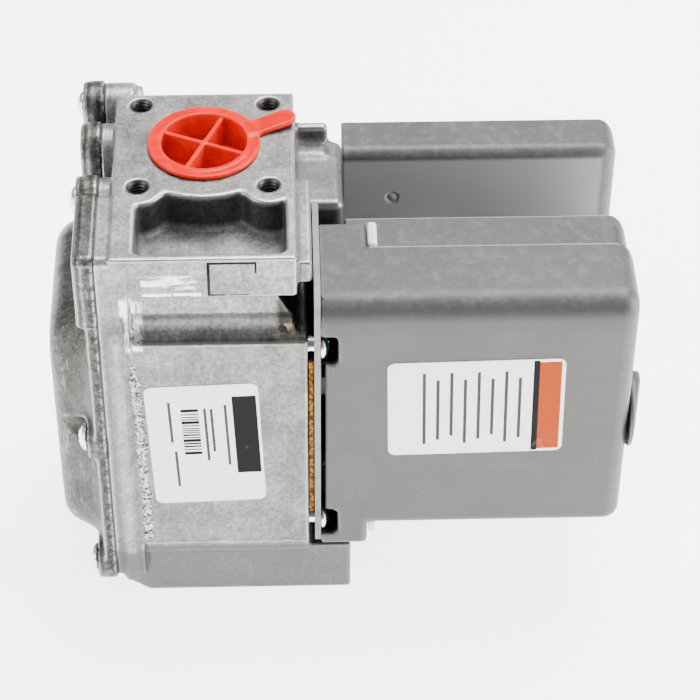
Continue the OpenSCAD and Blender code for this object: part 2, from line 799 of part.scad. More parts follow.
module switch_body() color("#39393b") difference() {
    translate([switch_x1 - rotor_l - 1.5, parts_y, knob_yz[1] - switch_w / 2])
        cube([rotor_l + 1.5, knob_yz[0] - parts_y + switch_w / 2, switch_w]);
    bar_x(switch_x1 - rotor_l - run_gap, rotor_l + 2, knob_yz, rotor_r + run_gap);
}

// ---- electronics ----

module circuit_board() color("#2f6b3c") translate([board_x0, board_y, board_z0])
    cube([board_x1 - board_x0, board_t, board_z1 - board_z0]);

module relay() color("#1f4f86")
    translate([board_x0 + 3, parts_y, board_z1 - relay_size[2] - 2]) cube(relay_size);

module transformer() color("#6b5a3a")
    translate([transformer_x, parts_y, board_z1 - transformer_size[2] - 2]) cube(transformer_size);

// Three of falling height
module capacitors() color("#2c2c55") for (i = [0 : 2])
    bar_y(parts_y, capacitor_h - i, [board_x0 + 4 + i * capacitor_pitch, board_z0 + 5], capacitor_r);

module harness_socket() color("#e7e4da") difference() {
    translate([socket_x + slip, parts_y, housing_z0])
        cube([socket_w - 2 * slip, socket_d - slip, socket_h]);
    translate([socket_x + socket_wall, parts_y + socket_wall, housing_z0 - 1])
        cube([socket_w - 2 * socket_wall, socket_d - 2 * socket_wall, socket_h - 0.4]);
}

module socket_pins() color("#cfc9a8")
    for (i = [0 : 3], y = pin_rows_y)
        translate([socket_x + 3.6 + i * pin_pitch, parts_y + y, housing_z0 + 3])
            cube([pin_w, pin_w, socket_h - 4.4]);

// ---- solenoids ----

module coil_bobbin(yz) difference() {
    union() {
        bar_x(coil_x, coil_l, yz, tube_r + 1);
        for (x = [coil_x, coil_x + coil_l - 1.2]) bar_x(x, 1.2, yz, coil_r + 0.4);
    }
    bar_x(coil_x - 1, coil_l + 2, yz, tube_r + 0.1);
}

module coil_winding(yz) difference() {
    bar_x(coil_x + 1.2, coil_l - 2.4, yz, coil_r);
    bar_x(coil_x, coil_l, yz, tube_r + 1);
}

// Steel strap around the coil, open above and below
module coil_yoke(yz) difference() {
    translate([coil_x - yoke_t, yz[0] - coil_r * 0.8, yz[1] - coil_r - 0.4 - yoke_t])
        cube([coil_l + 2 * yoke_t, coil_r * 1.6, 2 * coil_r + 0.4]);
    translate([coil_x, yz[0] - 20, yz[1] - coil_r - 0.4]) cube([coil_l, 40, 40]);
    bar_x(coil_x - 5, coil_l + 10, yz, tube_r + 0.1);
}

// Closed tube with a foot that lies against the plate
module guide_tube(yz) difference() {
    union() {
        bar_x(plate_x, tube_end - plate_x, yz, tube_r);
        bar_x(plate_x - flange_tube_t, flange_tube_t, yz, tube_r + 1.6);
    }
    bar_x(plate_x - 3, core_x + core_l - plate_x + 4, yz, tube_ir);
}

module fixed_core(yz) bar_x(core_x, core_l + 0.8, yz, tube_ir - 0.02);

// Plunger with a bored front that holds the seal
module plunger(yz, seat_x) difference() {
    seal_end = seat_x + seat_lip + run_gap + seal_t;
    bar_x(seal_end - nose_l, plunger_end - seal_end + nose_l, yz, plunger_r);
    bar_x(seal_end - 1, 1, yz, plunger_r - 1);
    bar_x(plunger_end - 5, 6, yz, spring_bore_r);
}

module poppet_seal(yz, seat_x) {
    bar_x(seat_x + seat_lip + run_gap, seal_t, yz, plunger_r - 1 - slip);
    bar_x(seat_x + seat_lip + run_gap, seal_t - seal_step, yz, plunger_r + 1.2);
}

module return_spring(yz) translate([plunger_end - 4.9, yz[0], yz[1]]) rotate([0, 90, 0])
    coil_spring(spring_bore_r - return_wire / 2 - 0.25, return_wire, core_x - plunger_end + 4.8, 5);

module first_coil_bobbin() color("#d9d4c2") coil_bobbin(first_yz);
module first_coil_winding() color("#7a3f1d") coil_winding(first_yz);
module first_coil_yoke() color("#8b8d90") coil_yoke(first_yz);
module first_guide_tube() color("#c5a24a") guide_tube(first_yz);
module first_core() color("#a7a9ab") fixed_core(first_yz);
module first_plunger() color("#b3b5b7") plunger(first_yz, first_seat_x);
module first_seal() color("#262627") poppet_seal(first_yz, first_seat_x);
module first_spring() color("#cccdce") return_spring(first_yz);
module servo_coil_bobbin() color("#d9d4c2") coil_bobbin(servo_yz);
module servo_coil_winding() color("#7a3f1d") coil_winding(servo_yz);
module servo_coil_yoke() color("#8b8d90") coil_yoke(servo_yz);
module servo_guide_tube() color("#c5a24a") guide_tube(servo_yz);
module servo_core() color("#a7a9ab") fixed_core(servo_yz);
module servo_plunger() color("#b3b5b7") plunger(servo_yz, servo_seat_x);
module servo_seal() color("#262627") poppet_seal(servo_yz, servo_seat_x);
module servo_spring() color("#cccdce") return_spring(servo_yz);

// ---- regulator ----

module regulator_tower() color("#a9abac") difference() {
    bar_x(housing_x, tower_l, reg_yz, tower_r);
    bar_x(housing_x - 1, tower_l + 2, reg_yz, tower_bore_r);
}

// Disc in the pocket under the plate, with a bead that the plate clamps
module regulator_diaphragm() color("#2b2b2c") difference() {
    union() {
        bar_x(reg_sheet_x, reg_sheet_t, reg_yz, reg_diaphragm_r);
        difference() {
            bar_x(reg_sheet_x, plate_x - reg_sheet_x - slip, reg_yz, reg_diaphragm_r);
            bar_x(reg_sheet_x - 1, 10, reg_yz, reg_diaphragm_r - reg_bead_w);
        }
    }
}

module regulator_cup() color("#c9cacb") difference() {
    bar_x(reg_sheet_x + reg_sheet_t + slip, cup_l, reg_yz, tower_bore_r - 0.4);
    bar_x(reg_spring_x0 - slip, cup_l + 1, reg_yz, tower_bore_r - 0.4 - cup_wall);
}

module regulator_spring() color("#cfd0d1") translate([reg_spring_x0, reg_yz[0], reg_yz[1]]) rotate([0, 90, 0])
    coil_spring(reg_spring_r, reg_wire, adjuster_x - reg_spring_x0 - slip, 7);

module adjusting_screw() color("#d7c48a") difference() {
    bar_x(adjuster_x, adjuster_l, reg_yz, tower_bore_r - slip);
    translate([adjuster_x + adjuster_l - 1.5, reg_yz[0] - 0.6, reg_yz[1] - 4]) cube([3, 1.2, 8]);
}

module regulator_cap() color("#c9cbcc") difference() {
    union() {
        bar_x(tower_end - cap_l + run_gap, cap_l - run_gap, reg_yz, tower_bore_r - slip);
        bar_x(tower_end, 1.6, reg_yz, tower_r - 0.2);
    }
    translate([tower_end + 0.6, reg_yz[0] - 0.8, reg_yz[1] - 9]) cube([3, 1.6, 18]);
}

// ---- pressure taps ----

module tap_plug(z) difference() {
    bar_y(back_d + 1.5 - tap_plug_l, tap_plug_l, [0, z], tap_plug_r);
    translate([0, back_d - 2, z]) rotate([-90, 0, 0]) cylinder(h = 6, r = hex_r, $fn = 6);
}

module inlet_tap_plug() color("#b08d4c") tap_plug(inlet_tap_z);
module outlet_tap_plug() color("#b08d4c") tap_plug(outlet_tap_z);

// ---- labels ----

// Label of w by h with its centre at [x, z] on the face at y
module label(centre, w, h, tilt, y) translate([centre[0], y, centre[1]]) rotate([90, 0, 0]) rotate(tilt)
    linear_extrude(label_t) rounded(-w / 2, -h / 2, w, h, label_corner);

module rating_label() color("#f0f0ee") label(rating_at, rating_w, rating_h, rating_tilt, -front_d);
module notice_label() color("#ececea") label(notice_at, notice_w, notice_h, notice_tilt, housing_front);

valve_body();
bottom_cover();
cover_screws();
main_diaphragm();
diaphragm_plates();
main_valve_disc();
main_valve_seal();
main_spring();
inlet_screen();
inlet_plug();
cork_gasket();
top_plate();
plate_screws();
housing();
housing_clips();
housing_screws();
on_off_knob();
switch_rotor();
switch_body();
circuit_board();
relay();
transformer();
capacitors();
harness_socket();
socket_pins();
first_coil_bobbin();
first_coil_winding();
first_coil_yoke();
first_guide_tube();
first_core();
first_plunger();
first_seal();
first_spring();
servo_coil_bobbin();
servo_coil_winding();
servo_coil_yoke();
servo_guide_tube();
servo_core();
servo_plunger();
servo_seal();
servo_spring();
regulator_tower();
regulator_diaphragm();
regulator_cup();
regulator_spring();
adjusting_screw();
regulator_cap();
inlet_tap_plug();
outlet_tap_plug();
rating_label();
notice_label();
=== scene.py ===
"""Looks of a combination gas control valve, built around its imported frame.

Solid pieces are level sets: each piece is a distance formula in millimetres, sampled on a grid of cells
and turned into a closed quad mesh whose points are pulled onto the exact surface.
"""

import functools
import json
import math

import bpy
import numpy as np
from bpy.props import FloatProperty, FloatVectorProperty, PointerProperty
from bpy.types import Operator, Panel, PropertyGroup
from mathutils import Matrix, Vector


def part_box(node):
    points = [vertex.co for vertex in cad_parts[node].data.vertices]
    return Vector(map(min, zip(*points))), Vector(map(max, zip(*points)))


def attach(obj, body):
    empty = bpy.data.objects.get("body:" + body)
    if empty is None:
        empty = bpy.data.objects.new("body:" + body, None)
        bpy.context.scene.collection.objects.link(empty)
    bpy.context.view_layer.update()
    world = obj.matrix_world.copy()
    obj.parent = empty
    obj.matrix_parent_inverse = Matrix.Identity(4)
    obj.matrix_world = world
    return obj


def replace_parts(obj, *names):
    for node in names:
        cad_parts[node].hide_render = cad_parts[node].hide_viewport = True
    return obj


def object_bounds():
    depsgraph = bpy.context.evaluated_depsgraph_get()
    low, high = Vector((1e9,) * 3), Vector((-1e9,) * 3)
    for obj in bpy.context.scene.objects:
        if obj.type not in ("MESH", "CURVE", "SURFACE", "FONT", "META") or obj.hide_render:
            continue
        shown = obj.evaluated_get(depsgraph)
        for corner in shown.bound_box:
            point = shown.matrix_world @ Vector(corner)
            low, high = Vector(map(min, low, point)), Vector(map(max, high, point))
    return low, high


bl_info = {
    "name": "Gas Valve",
    "version": (1, 0, 0),
    "blender": (4, 5, 0),
    "location": "View3D > Sidebar > Gas Valve",
    "description": "Builds the castings, housing, plug, labels and stage of a gas control valve",
    "category": "Object",
}

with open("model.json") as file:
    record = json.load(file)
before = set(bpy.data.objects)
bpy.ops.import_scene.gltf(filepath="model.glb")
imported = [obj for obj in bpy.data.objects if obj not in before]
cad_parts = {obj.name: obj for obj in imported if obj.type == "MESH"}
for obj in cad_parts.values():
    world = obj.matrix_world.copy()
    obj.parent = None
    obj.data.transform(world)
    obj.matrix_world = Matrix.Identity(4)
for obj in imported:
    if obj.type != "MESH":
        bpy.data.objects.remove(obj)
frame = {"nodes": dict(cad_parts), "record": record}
CAD_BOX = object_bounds()
MM = 0.001


def box_mm(node):
    """Lowest and highest corner of a frame node, in millimetres."""
    low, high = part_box(node)
    return np.array(low) / MM, np.array(high) / MM


# ---- settings -------------------------------------------------------------------------------------


class GasValveSizes(PropertyGroup):
    """Sizes that a user may change, in millimetres."""

    body_cell: FloatProperty(name="Body cell", description="Grid step of the body casting", default=0.6)
    cover_cell: FloatProperty(name="Cover cell", description="Grid step of the cover casting", default=0.5)
    housing_cell: FloatProperty(name="Housing cell", description="Grid step of the housing", default=0.7)
    fine_cell: FloatProperty(name="Fine cell", description="Grid step of the small pieces", default=0.3)
    cast_edge: FloatProperty(name="Casting edge", description="Edge radius of the castings", default=0.6)
    cast_fillet: FloatProperty(name="Casting fillet", description="Inner fillet of the castings", default=1.4)
    housing_wall: FloatProperty(name="Housing wall", description="Wall of the plastic housing", default=1.8)
    housing_edge: FloatProperty(name="Housing edge", description="Edge radius of the lobes", default=3.4)


class GasValveColours(PropertyGroup):
    """Base colours that a user may change."""

    casting: FloatVectorProperty(
        name="Casting", description="Die-cast aluminium", subtype="COLOR", default=(0.195, 0.196, 0.189))
    cover: FloatVectorProperty(
        name="Cover", description="Darker stained casting", subtype="COLOR", default=(0.064, 0.062, 0.057))
    housing: FloatVectorProperty(
        name="Housing", description="Grey moulded plastic", subtype="COLOR", default=(0.048, 0.049, 0.0465))
    plug: FloatVectorProperty(
        name="Plug", description="Red moulded plug", subtype="COLOR", default=(0.78, 0.003, 0.001))
    cork: FloatVectorProperty(
        name="Cork", description="Cork gasket", subtype="COLOR", default=(0.20, 0.088, 0.014))
    band: FloatVectorProperty(
        name="Label band", description="Coloured band of the housing label", subtype="COLOR",
        default=(0.36, 0.048, 0.0))


# ---- distance formulas, all in millimetres --------------------------------------------------------


def rounded_box(p, low, high, r):
    """Distance to a box with edges rounded by r.

    It is |max(q, 0)| + min(max(q), 0) - r, where q = |p - centre| - half size + r."""
    q = [abs(p[i] - (low[i] + high[i]) / 2) - (high[i] - low[i]) / 2 + r for i in range(3)]
    outside = np.sqrt(sum(np.maximum(a, 0) ** 2 for a in q))
    return outside + np.minimum(np.maximum(np.maximum(q[0], q[1]), q[2]), 0) - r


def corner(a, b, r):
    """Distance to the outer corner of two faces at right angles, rounded by r, from the distance to each."""
    return np.hypot(np.maximum(a, 0), np.maximum(b, 0)) + np.minimum(np.maximum(a, b), 0) - r


def slab(p, axis, flat, start, end, r):
    """Extrudes a flat outline's distance along an axis, with its rims rounded by r."""
    return corner(flat + r, abs(p[axis] - (start + end) / 2) - (end - start) / 2 + r, r)


def bar(p, axis, centre, radius, start, end, r=0.2):
    """Round bar along an axis: the slab of a circle's distance."""
    a, b = [p[i] for i in range(3) if i != axis]
    return slab(p, axis, disc(a, b, centre, radius), start, end, r)


def flat_box(a, b, low, high, r):
    """Distance in a plane to a rectangle with corners rounded by r."""
    q = [abs(v - (low[i] + high[i]) / 2) - (high[i] - low[i]) / 2 + r for i, v in enumerate((a, b))]
    return corner(*q, r)


def disc(a, b, centre, radius):
    """Distance in a plane to a circle."""
    return np.hypot(a - centre[0], b - centre[1]) - radius


def join(a, b, k=0.01):
    """Union with a fillet of about k: min(a, b) - h^2 k / 4 with h = max(k - |a - b|, 0) / k."""
    h = np.maximum(k - abs(a - b), 0) / k
    return np.minimum(a, b) - h * h * k / 4


def cut(a, b, k=0.01):
    """a without b, with the rim rounded by about k."""
    return -join(-a, b, k)


def ripple(p, scale, seed):
    """Smooth noise in -1..1: a sum of sines along seeded directions."""
    turn = np.random.default_rng(seed)
    total = 0
    for _ in range(7):
        way = turn.normal(size=3)
        way *= 2 * math.pi / scale / np.linalg.norm(way) * turn.uniform(0.6, 1.7)
        total = total + np.sin(way[0] * p[0] + way[1] * p[1] + way[2] * p[2] + turn.uniform(0, 6.28))
    return total / 7


# ---- meshes ---------------------------------------------------------------------------------------


def slopes(field, points, step):
    """Gradient and Laplacian of a field at points, by central differences."""
    x, y, z = points.T
    pairs = []
    for axis in range(3):
        move = [0, 0, 0]
        move[axis] = step
        pairs.append((field((x + move[0], y + move[1], z + move[2])),
                      field((x - move[0], y - move[1], z - move[2]))))
    grad = np.stack([(a - b) / (2 * step) for a, b in pairs], 1)
    bend = sum(a + b for a, b in pairs) - 6 * field((x, y, z))
    return grad, bend / step ** 2


def level_set(field, low, high, cell):
    """Closed quad mesh of field = 0. Each cell that the surface crosses gets one point, the mean of its
    edge crossings, and each grid edge that changes sign gets the quad of its four cells."""
    counts = np.ceil((high - low) / cell).astype(int) + 5
    axes = [(low[i] - 2 * cell + cell * np.arange(counts[i])).astype(np.float32) for i in range(3)]
    grid = np.meshgrid(*axes, indexing="ij", sparse=True)
    values = np.broadcast_to(field(grid), counts).astype(np.float32)
    for axis in range(3):
        rim = np.moveaxis(values, axis, 0)
        rim[0] = np.maximum(rim[0], cell)
        rim[-1] = np.maximum(rim[-1], cell)
    inside = values < 0
    total = np.zeros([n - 1 for n in counts] + [3], np.float32)
    hits = np.zeros([n - 1 for n in counts], np.int16)
    for axis in range(3):
        a = np.moveaxis(values, axis, 0)[:-1]
        b = np.moveaxis(values, axis, 0)[1:]
        cross = (a < 0) != (b < 0)
        t = np.where(cross, a / np.where(cross, a - b, 1), 0)
        cross, t = np.moveaxis(cross, 0, axis), np.moveaxis(t, 0, axis)
        others = [i for i in range(3) if i != axis]
        for du in (0, 1):
            for dv in (0, 1):
                take = [slice(None)] * 3
                take[others[0]] = slice(du, du + counts[others[0]] - 1)
                take[others[1]] = slice(dv, dv + counts[others[1]] - 1)
                c = cross[tuple(take)]
                hits += c
                total[..., axis] += t[tuple(take)] * c
                total[..., others[0]] += du * c
                total[..., others[1]] += dv * c
    active = hits > 0
    number = np.full(active.shape, -1, np.int64)
    number[active] = np.arange(active.sum())
    corner = np.stack(np.nonzero(active), 1)
    points = (corner + total[active] / hits[active][:, None]) * cell + (low - 2 * cell)
    quads = []
    for axis in range(3):
        u, v = [(1, 2), (2, 0), (0, 1)][axis]
        a = np.moveaxis(inside, axis, 0)[:-1]
        b = np.moveaxis(inside, axis, 0)[1:]
        change = np.moveaxis(a != b, 0, axis)
        where = np.stack(np.nonzero(change), 1)
        where = where[(where[:, u] > 0) & (where[:, v] > 0)]
        rising = inside[tuple(where.T)]
        ring = []
        for du, dv in ((1, 1), (0, 1), (0, 0), (1, 0)):
            c = where.copy()
            c[:, u] -= du
            c[:, v] -= dv
            ring.append(number[tuple(c.T)])
        ring = np.stack(ring, 1)
        ring[~rising] = ring[~rising][:, ::-1]
        quads.append(ring)
    quads = np.concatenate(quads)
    points = points.astype(np.float64)
    for _ in range(4):
        grad, _bend = slopes(field, points, 0.04)
        size = np.maximum((grad ** 2).sum(1), 0.2)
        shift = grad * (field(tuple(points.T)) / size)[:, None]
        length = np.linalg.norm(shift, axis=1, keepdims=True)
        points -= shift * np.minimum(1, 0.4 * cell / np.maximum(length, 1e-9))
    return points, quads


def make_mesh(name, points, faces, body, material, normals=None, marks=None, smooth=True):
    """Makes one piece from points in millimetres and faces of equal size, and lets it ride on a body."""
    mesh = bpy.data.meshes.new(name)
    n, m, k = len(points), len(faces), faces.shape[1]
    mesh.vertices.add(n)
    mesh.vertices.foreach_set("co", (points * MM).astype(np.float32).ravel())
    mesh.loops.add(m * k)
    mesh.loops.foreach_set("vertex_index", faces.astype(np.int32).ravel())
    mesh.polygons.add(m)
    mesh.polygons.foreach_set("loop_start", np.arange(0, m * k, k, dtype=np.int32))
    mesh.polygons.foreach_set("use_smooth", np.full(m, smooth))
    mesh.update(calc_edges=True)
    mesh.validate()
    for key, values in (marks or {}).items():
        mesh.attributes.new(key, "FLOAT", "POINT").data.foreach_set("value", values.astype(np.float32))
    if normals is not None:
        mesh.normals_split_custom_set_from_vertices(normals)
    mesh.materials.append(material)
    piece = bpy.data.objects.new(name, mesh)
    bpy.context.scene.collection.objects.link(piece)
    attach(piece, body)
    return piece


def surface(field, low, high, cell):
    """Points, quads, normals and the wear and cavity marks of a field's surface."""
    points, quads = level_set(field, np.array(low, float), np.array(high, float), cell)
    grad, _bend = slopes(field, points, 0.05)
    normals = grad / np.maximum(np.linalg.norm(grad, axis=1, keepdims=True), 1e-9)
    _grad, bend = slopes(field, points, 0.45)
    return points, quads, normals, {"wear": np.clip(bend * 0.6, 0, 1), "cavity": np.clip(-bend * 0.6, 0, 1)}


def make_solid(name, field, low, high, cell, body, material):
    """Piece whose surface is field = 0 between two corners."""
    points, quads, normals, marks = surface(field, low, high, cell)
    return make_mesh(name, points, quads, body, material, normals, marks)


def grid_faces(rows, columns, wrap_rows=False, wrap_columns=False):
    """Quads between neighbouring points of a rows x columns grid."""
    i, j = np.meshgrid(
        np.arange(rows if wrap_rows else rows - 1), np.arange(columns if wrap_columns else columns - 1),
        indexing="ij")
    i1, j1 = (i + 1) % rows, (j + 1) % columns
    corners = [i * columns + j, i1 * columns + j, i1 * columns + j1, i * columns + j1]
    return np.stack(corners, -1).reshape(-1, 4)


def boxes_mesh(boxes):
    """Points and quads of many separate boxes, each given as its lowest and highest corner."""
    unit = np.array([[x, y, z] for x in (0, 1) for y in (0, 1) for z in (0, 1)], float)
    sides = np.array([[0, 1, 3, 2], [4, 6, 7, 5], [0, 4, 5, 1], [2, 3, 7, 6], [0, 2, 6, 4], [1, 5, 7, 3]])
    low, high = np.array(boxes, float)[:, 0], np.array(boxes, float)[:, 1]
    points = low[:, None] + unit[None] * (high - low)[:, None]
    faces = sides[None] + 8 * np.arange(len(boxes))[:, None, None]
    return points.reshape(-1, 3), faces.reshape(-1, 4)


# ---- shader building blocks -----------------------------------------------------------------------


def add(tree, kind, inputs=None, **settings):
    """New shader node with its settings and inputs; an input may be a value or another node's socket."""
    node = tree.nodes.new(kind)
    for key, value in settings.items():
        setattr(node, key, value)
    for key, value in (inputs or {}).items():
        if isinstance(value, bpy.types.NodeSocket):
            tree.links.new(value, node.inputs[key])
        else:
            node.inputs[key].default_value = value
    return node


def maths(operation):
    """Function that adds a Math node of one operation to a tree and returns its output."""

    def calculate(tree, a, b=0.0, clamp=False):
        return add(tree, "ShaderNodeMath", {0: a, 1: b}, operation=operation, use_clamp=clamp).outputs[0]

    return calculate


times, plus, minus, absolute = [maths(kind) for kind in ("MULTIPLY", "ADD", "SUBTRACT", "ABSOLUTE")]


def ramp(tree, value, low, high):
    """Smooth step of a value from low to high."""
    return add(tree, "ShaderNodeMapRange", {"Value": value, "From Min": low, "From Max": high},
               interpolation_type="SMOOTHSTEP").outputs[0]


def blend_colour(tree, factor, a, b, mode="MIX"):
    """Mix node's colour output."""
    return add(tree, "ShaderNodeMix", {0: factor, 6: a, 7: b}, data_type="RGBA", blend_type=mode).outputs[2]


def stretched(tree, vector, scale):
    """Coordinates multiplied by a scale along each axis."""
    return add(tree, "ShaderNodeMapping", {"Vector": vector, "Scale": scale}).outputs[0]


def noise(tree, vector, scale, detail=4.0, roughness=0.55, distortion=0.0):
    """Noise texture's value, its scale in cycles per metre."""
    return add(tree, "ShaderNodeTexNoise", {
        "Vector": vector, "Scale": scale, "Detail": detail, "Roughness": roughness,
        "Distortion": distortion}).outputs[0]


def tint(base, factor, lift=0.0):
    """Base colour made lighter or darker, with its alpha."""
    return (*(min(1, c * factor + lift) for c in base), 1)


def new_group(name, inputs, outputs):
    """Empty shader node group with named float, colour and vector sockets; returns it and its ends."""
    group = bpy.data.node_groups.new(name, "ShaderNodeTree")
    kinds = {"f": "NodeSocketFloat", "c": "NodeSocketColor", "v": "NodeSocketVector"}
    for way, sockets in (("INPUT", inputs), ("OUTPUT", outputs)):
        for key, kind in sockets.items():
            group.interface.new_socket(key, in_out=way, socket_type=kinds[kind])
    return group, group.nodes.new("NodeGroupInput").outputs, group.nodes.new("NodeGroupOutput").inputs


def cast_skin_group():
    """Die-cast skin: cloudy tone, dark stains, tiny pits and fine scratches."""
    group, i, o = new_group(
        "cast_skin", {"Vector": "v", "Base": "c", "Stain Colour": "c", "Stain": "f", "Size": "f"},
        {"Color": "c", "Roughness": "f", "Height": "f"})
    link = group.links.new

    def grain(vector, scale, *shape):
        return noise(group, vector, times(group, i["Size"], scale), *shape)

    cloud = grain(i["Vector"], 90.0, 6.0, 0.6, 0.4)
    patch = grain(i["Vector"], 240.0, 7.0, 0.7, 1.2)
    pits = grain(i["Vector"], 1900.0, 2.0, 0.6)
    drag = grain(stretched(group, i["Vector"], (1.0, 1.0, 0.12)), 900.0, 3.0, 0.7, 0.2)
    fine = grain(i["Vector"], 1300.0, 4.0, 0.75)
    tone = i["Base"]
    for value, low, high in ((cloud, 0.35, 0.65), (fine, 0.38, 0.62)):
        factor = add(group, "ShaderNodeMapRange", {
            "Value": value, "From Min": low, "From Max": high, "To Min": 0.62, "To Max": 1.38}).outputs[0]
        tone = blend_colour(group, 1.0, tone, factor, "MULTIPLY")
    scratch = ramp(group, drag, 0.58, 0.72)
    tone = blend_colour(group, times(group, scratch, 0.22), tone, (0.62, 0.62, 0.61, 1))
    stained = times(group, ramp(group, patch, 0.46, 0.68), i["Stain"], True)
    tone = blend_colour(group, stained, tone, i["Stain Colour"])
    speck = ramp(group, pits, 0.66, 0.74)
    link(blend_colour(group, times(group, speck, 0.45), tone, (0.11, 0.105, 0.10, 1)), o["Color"])
    rough = plus(group, times(group, cloud, 0.25), 0.30)
    link(minus(group, rough, times(group, scratch, 0.10), True), o["Roughness"])
    bumps = minus(group, times(group, patch, 0.5), times(group, speck, 0.5))
    link(plus(group, bumps, times(group, fine, 0.4)), o["Height"])
    return group


def edge_wear_group():
    """Masks of rubbed edges, broken up by noise, and of inner corners, from the piece's own marks."""
    group, i, o = new_group("edge_wear", {"Vector": "v", "Amount": "f"}, {"Mask": "f", "Cavity": "f"})
    wear, cavity = [add(group, "ShaderNodeAttribute", attribute_name=key).outputs["Fac"]
                    for key in ("wear", "cavity")]
    grain = noise(group, i["Vector"], 700.0, 5.0, 0.7)
    mask = times(group, ramp(group, plus(group, wear, grain), 0.55, 1.05), i["Amount"], True)
    group.links.new(mask, o["Mask"])
    group.links.new(ramp(group, cavity, 0.05, 0.6), o["Cavity"])
    return group


def grain_group():
    """Moulded texture: fine even grain with a few larger dull patches."""
    group, i, o = new_group("moulded_grain", {"Vector": "v", "Scale": "f"},
                            {"Height": "f", "Tone": "f", "Speck": "f"})
    fine = noise(group, i["Vector"], i["Scale"], 3.0, 0.7)
    patch = noise(group, i["Vector"], 60.0, 4.0, 0.6, 0.6)
    speck = noise(group, i["Vector"], times(group, i["Scale"], 0.62), 1.0, 0.5)
    group.links.new(fine, o["Height"])
    group.links.new(plus(group, times(group, fine, 0.5), times(group, patch, 0.5)), o["Tone"])
    group.links.new(ramp(group, speck, 0.70, 0.78), o["Speck"])
    return group


def dust_group():
    """Dust mask: settles on faces that look up, broken up by noise."""
    group, i, o = new_group("dust", {"Vector": "v", "Amount": "f"}, {"Mask": "f"})
    normal = add(group, "ShaderNodeNewGeometry").outputs["Normal"]
    up = add(group, "ShaderNodeSeparateXYZ", {0: normal}).outputs[2]
    spread = noise(group, i["Vector"], 420.0, 6.0, 0.7)
    mask = times(group, ramp(group, up, 0.3, 1.0), ramp(group, spread, 0.45, 0.75))
    group.links.new(times(group, mask, i["Amount"], True), o["Mask"])
    return group


GROUPS = {"cast_skin": cast_skin_group, "edge_wear": edge_wear_group, "moulded_grain": grain_group,
          "dust": dust_group}


def use_group(tree, name, inputs):
    """Outputs of a shared group, which is built when it is first wanted."""
    group = bpy.data.node_groups.get(name) or GROUPS[name]()
    return add(tree, "ShaderNodeGroup", inputs, node_tree=group).outputs


# Finishes of this file by name, apart from the plain ones that come with the frame
MADE = {}


def start_material(name, **fixed):
    """New material with fixed inputs of its Principled shader; returns it, its tree and its coordinates."""
    material = MADE[name] = bpy.data.materials.new(name)
    material.use_nodes = True
    tree = material.node_tree
    for key, value in fixed.items():
        tree.nodes["Principled BSDF"].inputs[key].default_value = value
    return material, tree, add(tree, "ShaderNodeTexCoord").outputs["Object"]


def end_material(material, sockets, height=None, strength=0.0, distance=0.0):
    """Feeds the shader's inputs, and its normal from a height with a bump, distance in metres."""
    tree = material.node_tree
    if height is not None:
        sockets["Normal"] = add(tree, "ShaderNodeBump", {
            "Height": height, "Strength": strength, "Distance": distance}).outputs[0]
    for key, socket in sockets.items():
        tree.links.new(socket, tree.nodes["Principled BSDF"].inputs[key])
    return material


def inside_box(tree, coords, low, high, soft):
    """Mask that is 1 inside a box given in millimetres, with a soft rim."""
    parts = add(tree, "ShaderNodeSeparateXYZ", {0: coords}).outputs
    mask = None
    for axis in range(3):
        middle, half = (low[axis] + high[axis]) / 2 * MM, (high[axis] - low[axis]) / 2 * MM
        away = absolute(tree, minus(tree, parts[axis], middle))
        side = add(tree, "ShaderNodeMapRange", {
            "Value": away, "From Min": half + soft * MM, "From Max": half}).outputs[0]
        mask = side if mask is None else times(tree, mask, side)
    return mask


def put_marks(tree, coords, colour, marks):
    """Tinted places over a colour.

    Each mark has the two corners of a box in millimetres, the width of its soft rim, the stretch and
    threshold of the noise that breaks it up (None for an even mark), a tint and a strength."""
    for low, high, soft, scale, threshold, shade, strength in marks:
        place = inside_box(tree, coords, low, high, soft)
        if threshold is not None:
            streak = noise(tree, stretched(tree, coords, scale), 500.0, 6.0, 0.75, 0.3)
            place = times(tree, place, ramp(tree, streak, threshold, threshold + 0.08))
        colour = blend_colour(tree, times(tree, place, strength), colour, (*shade, 1))
    return colour


# ---- materials ------------------------------------------------------------------------------------


def casting_material(name, base, stain_colour, stain, size, wear, marks=()):
    """Die-cast aluminium with rubbed edges, painted shade in its inner corners and marked places."""
    material, tree, coords = start_material(name, IOR=1.45)
    skin = use_group(tree, "cast_skin", {
        "Vector": coords, "Base": (*base, 1), "Stain Colour": (*stain_colour, 1), "Stain": stain,
        "Size": size})
    worn = use_group(tree, "edge_wear", {"Vector": coords, "Amount": wear})
    # Painted shade: inner corners darkened by the cavity mark
    colour = blend_colour(tree, times(tree, worn["Cavity"], 0.55), skin["Color"], (0.10, 0.095, 0.09, 1))
    colour = blend_colour(tree, times(tree, worn["Mask"], 0.8), colour, (0.52, 0.52, 0.52, 1))
    dull = plus(tree, skin["Roughness"], times(tree, worn["Cavity"], 0.2))
    return end_material(material, {
        "Base Color": put_marks(tree, coords, colour, marks),
        "Roughness": minus(tree, dull, times(tree, worn["Mask"], 0.15), True),
        "Metallic": minus(tree, 0.82, times(tree, worn["Cavity"], 0.4)),
    }, skin["Height"], 0.35, 0.00025)


def flash_material():
    """Crumbly flash: bright broken grains with dark gaps between them."""
    material, tree, coords = start_material("seam_flash", Roughness=0.5, Metallic=0.3)
    grains = noise(tree, coords, 1100.0, 5.0, 0.8, 0.5)
    colour = blend_colour(tree, ramp(tree, grains, 0.44, 0.54), (0.02, 0.02, 0.018, 1), (0.9, 0.9, 0.89, 1))
    return end_material(material, {"Base Color": colour}, grains, 0.9, 0.0005)


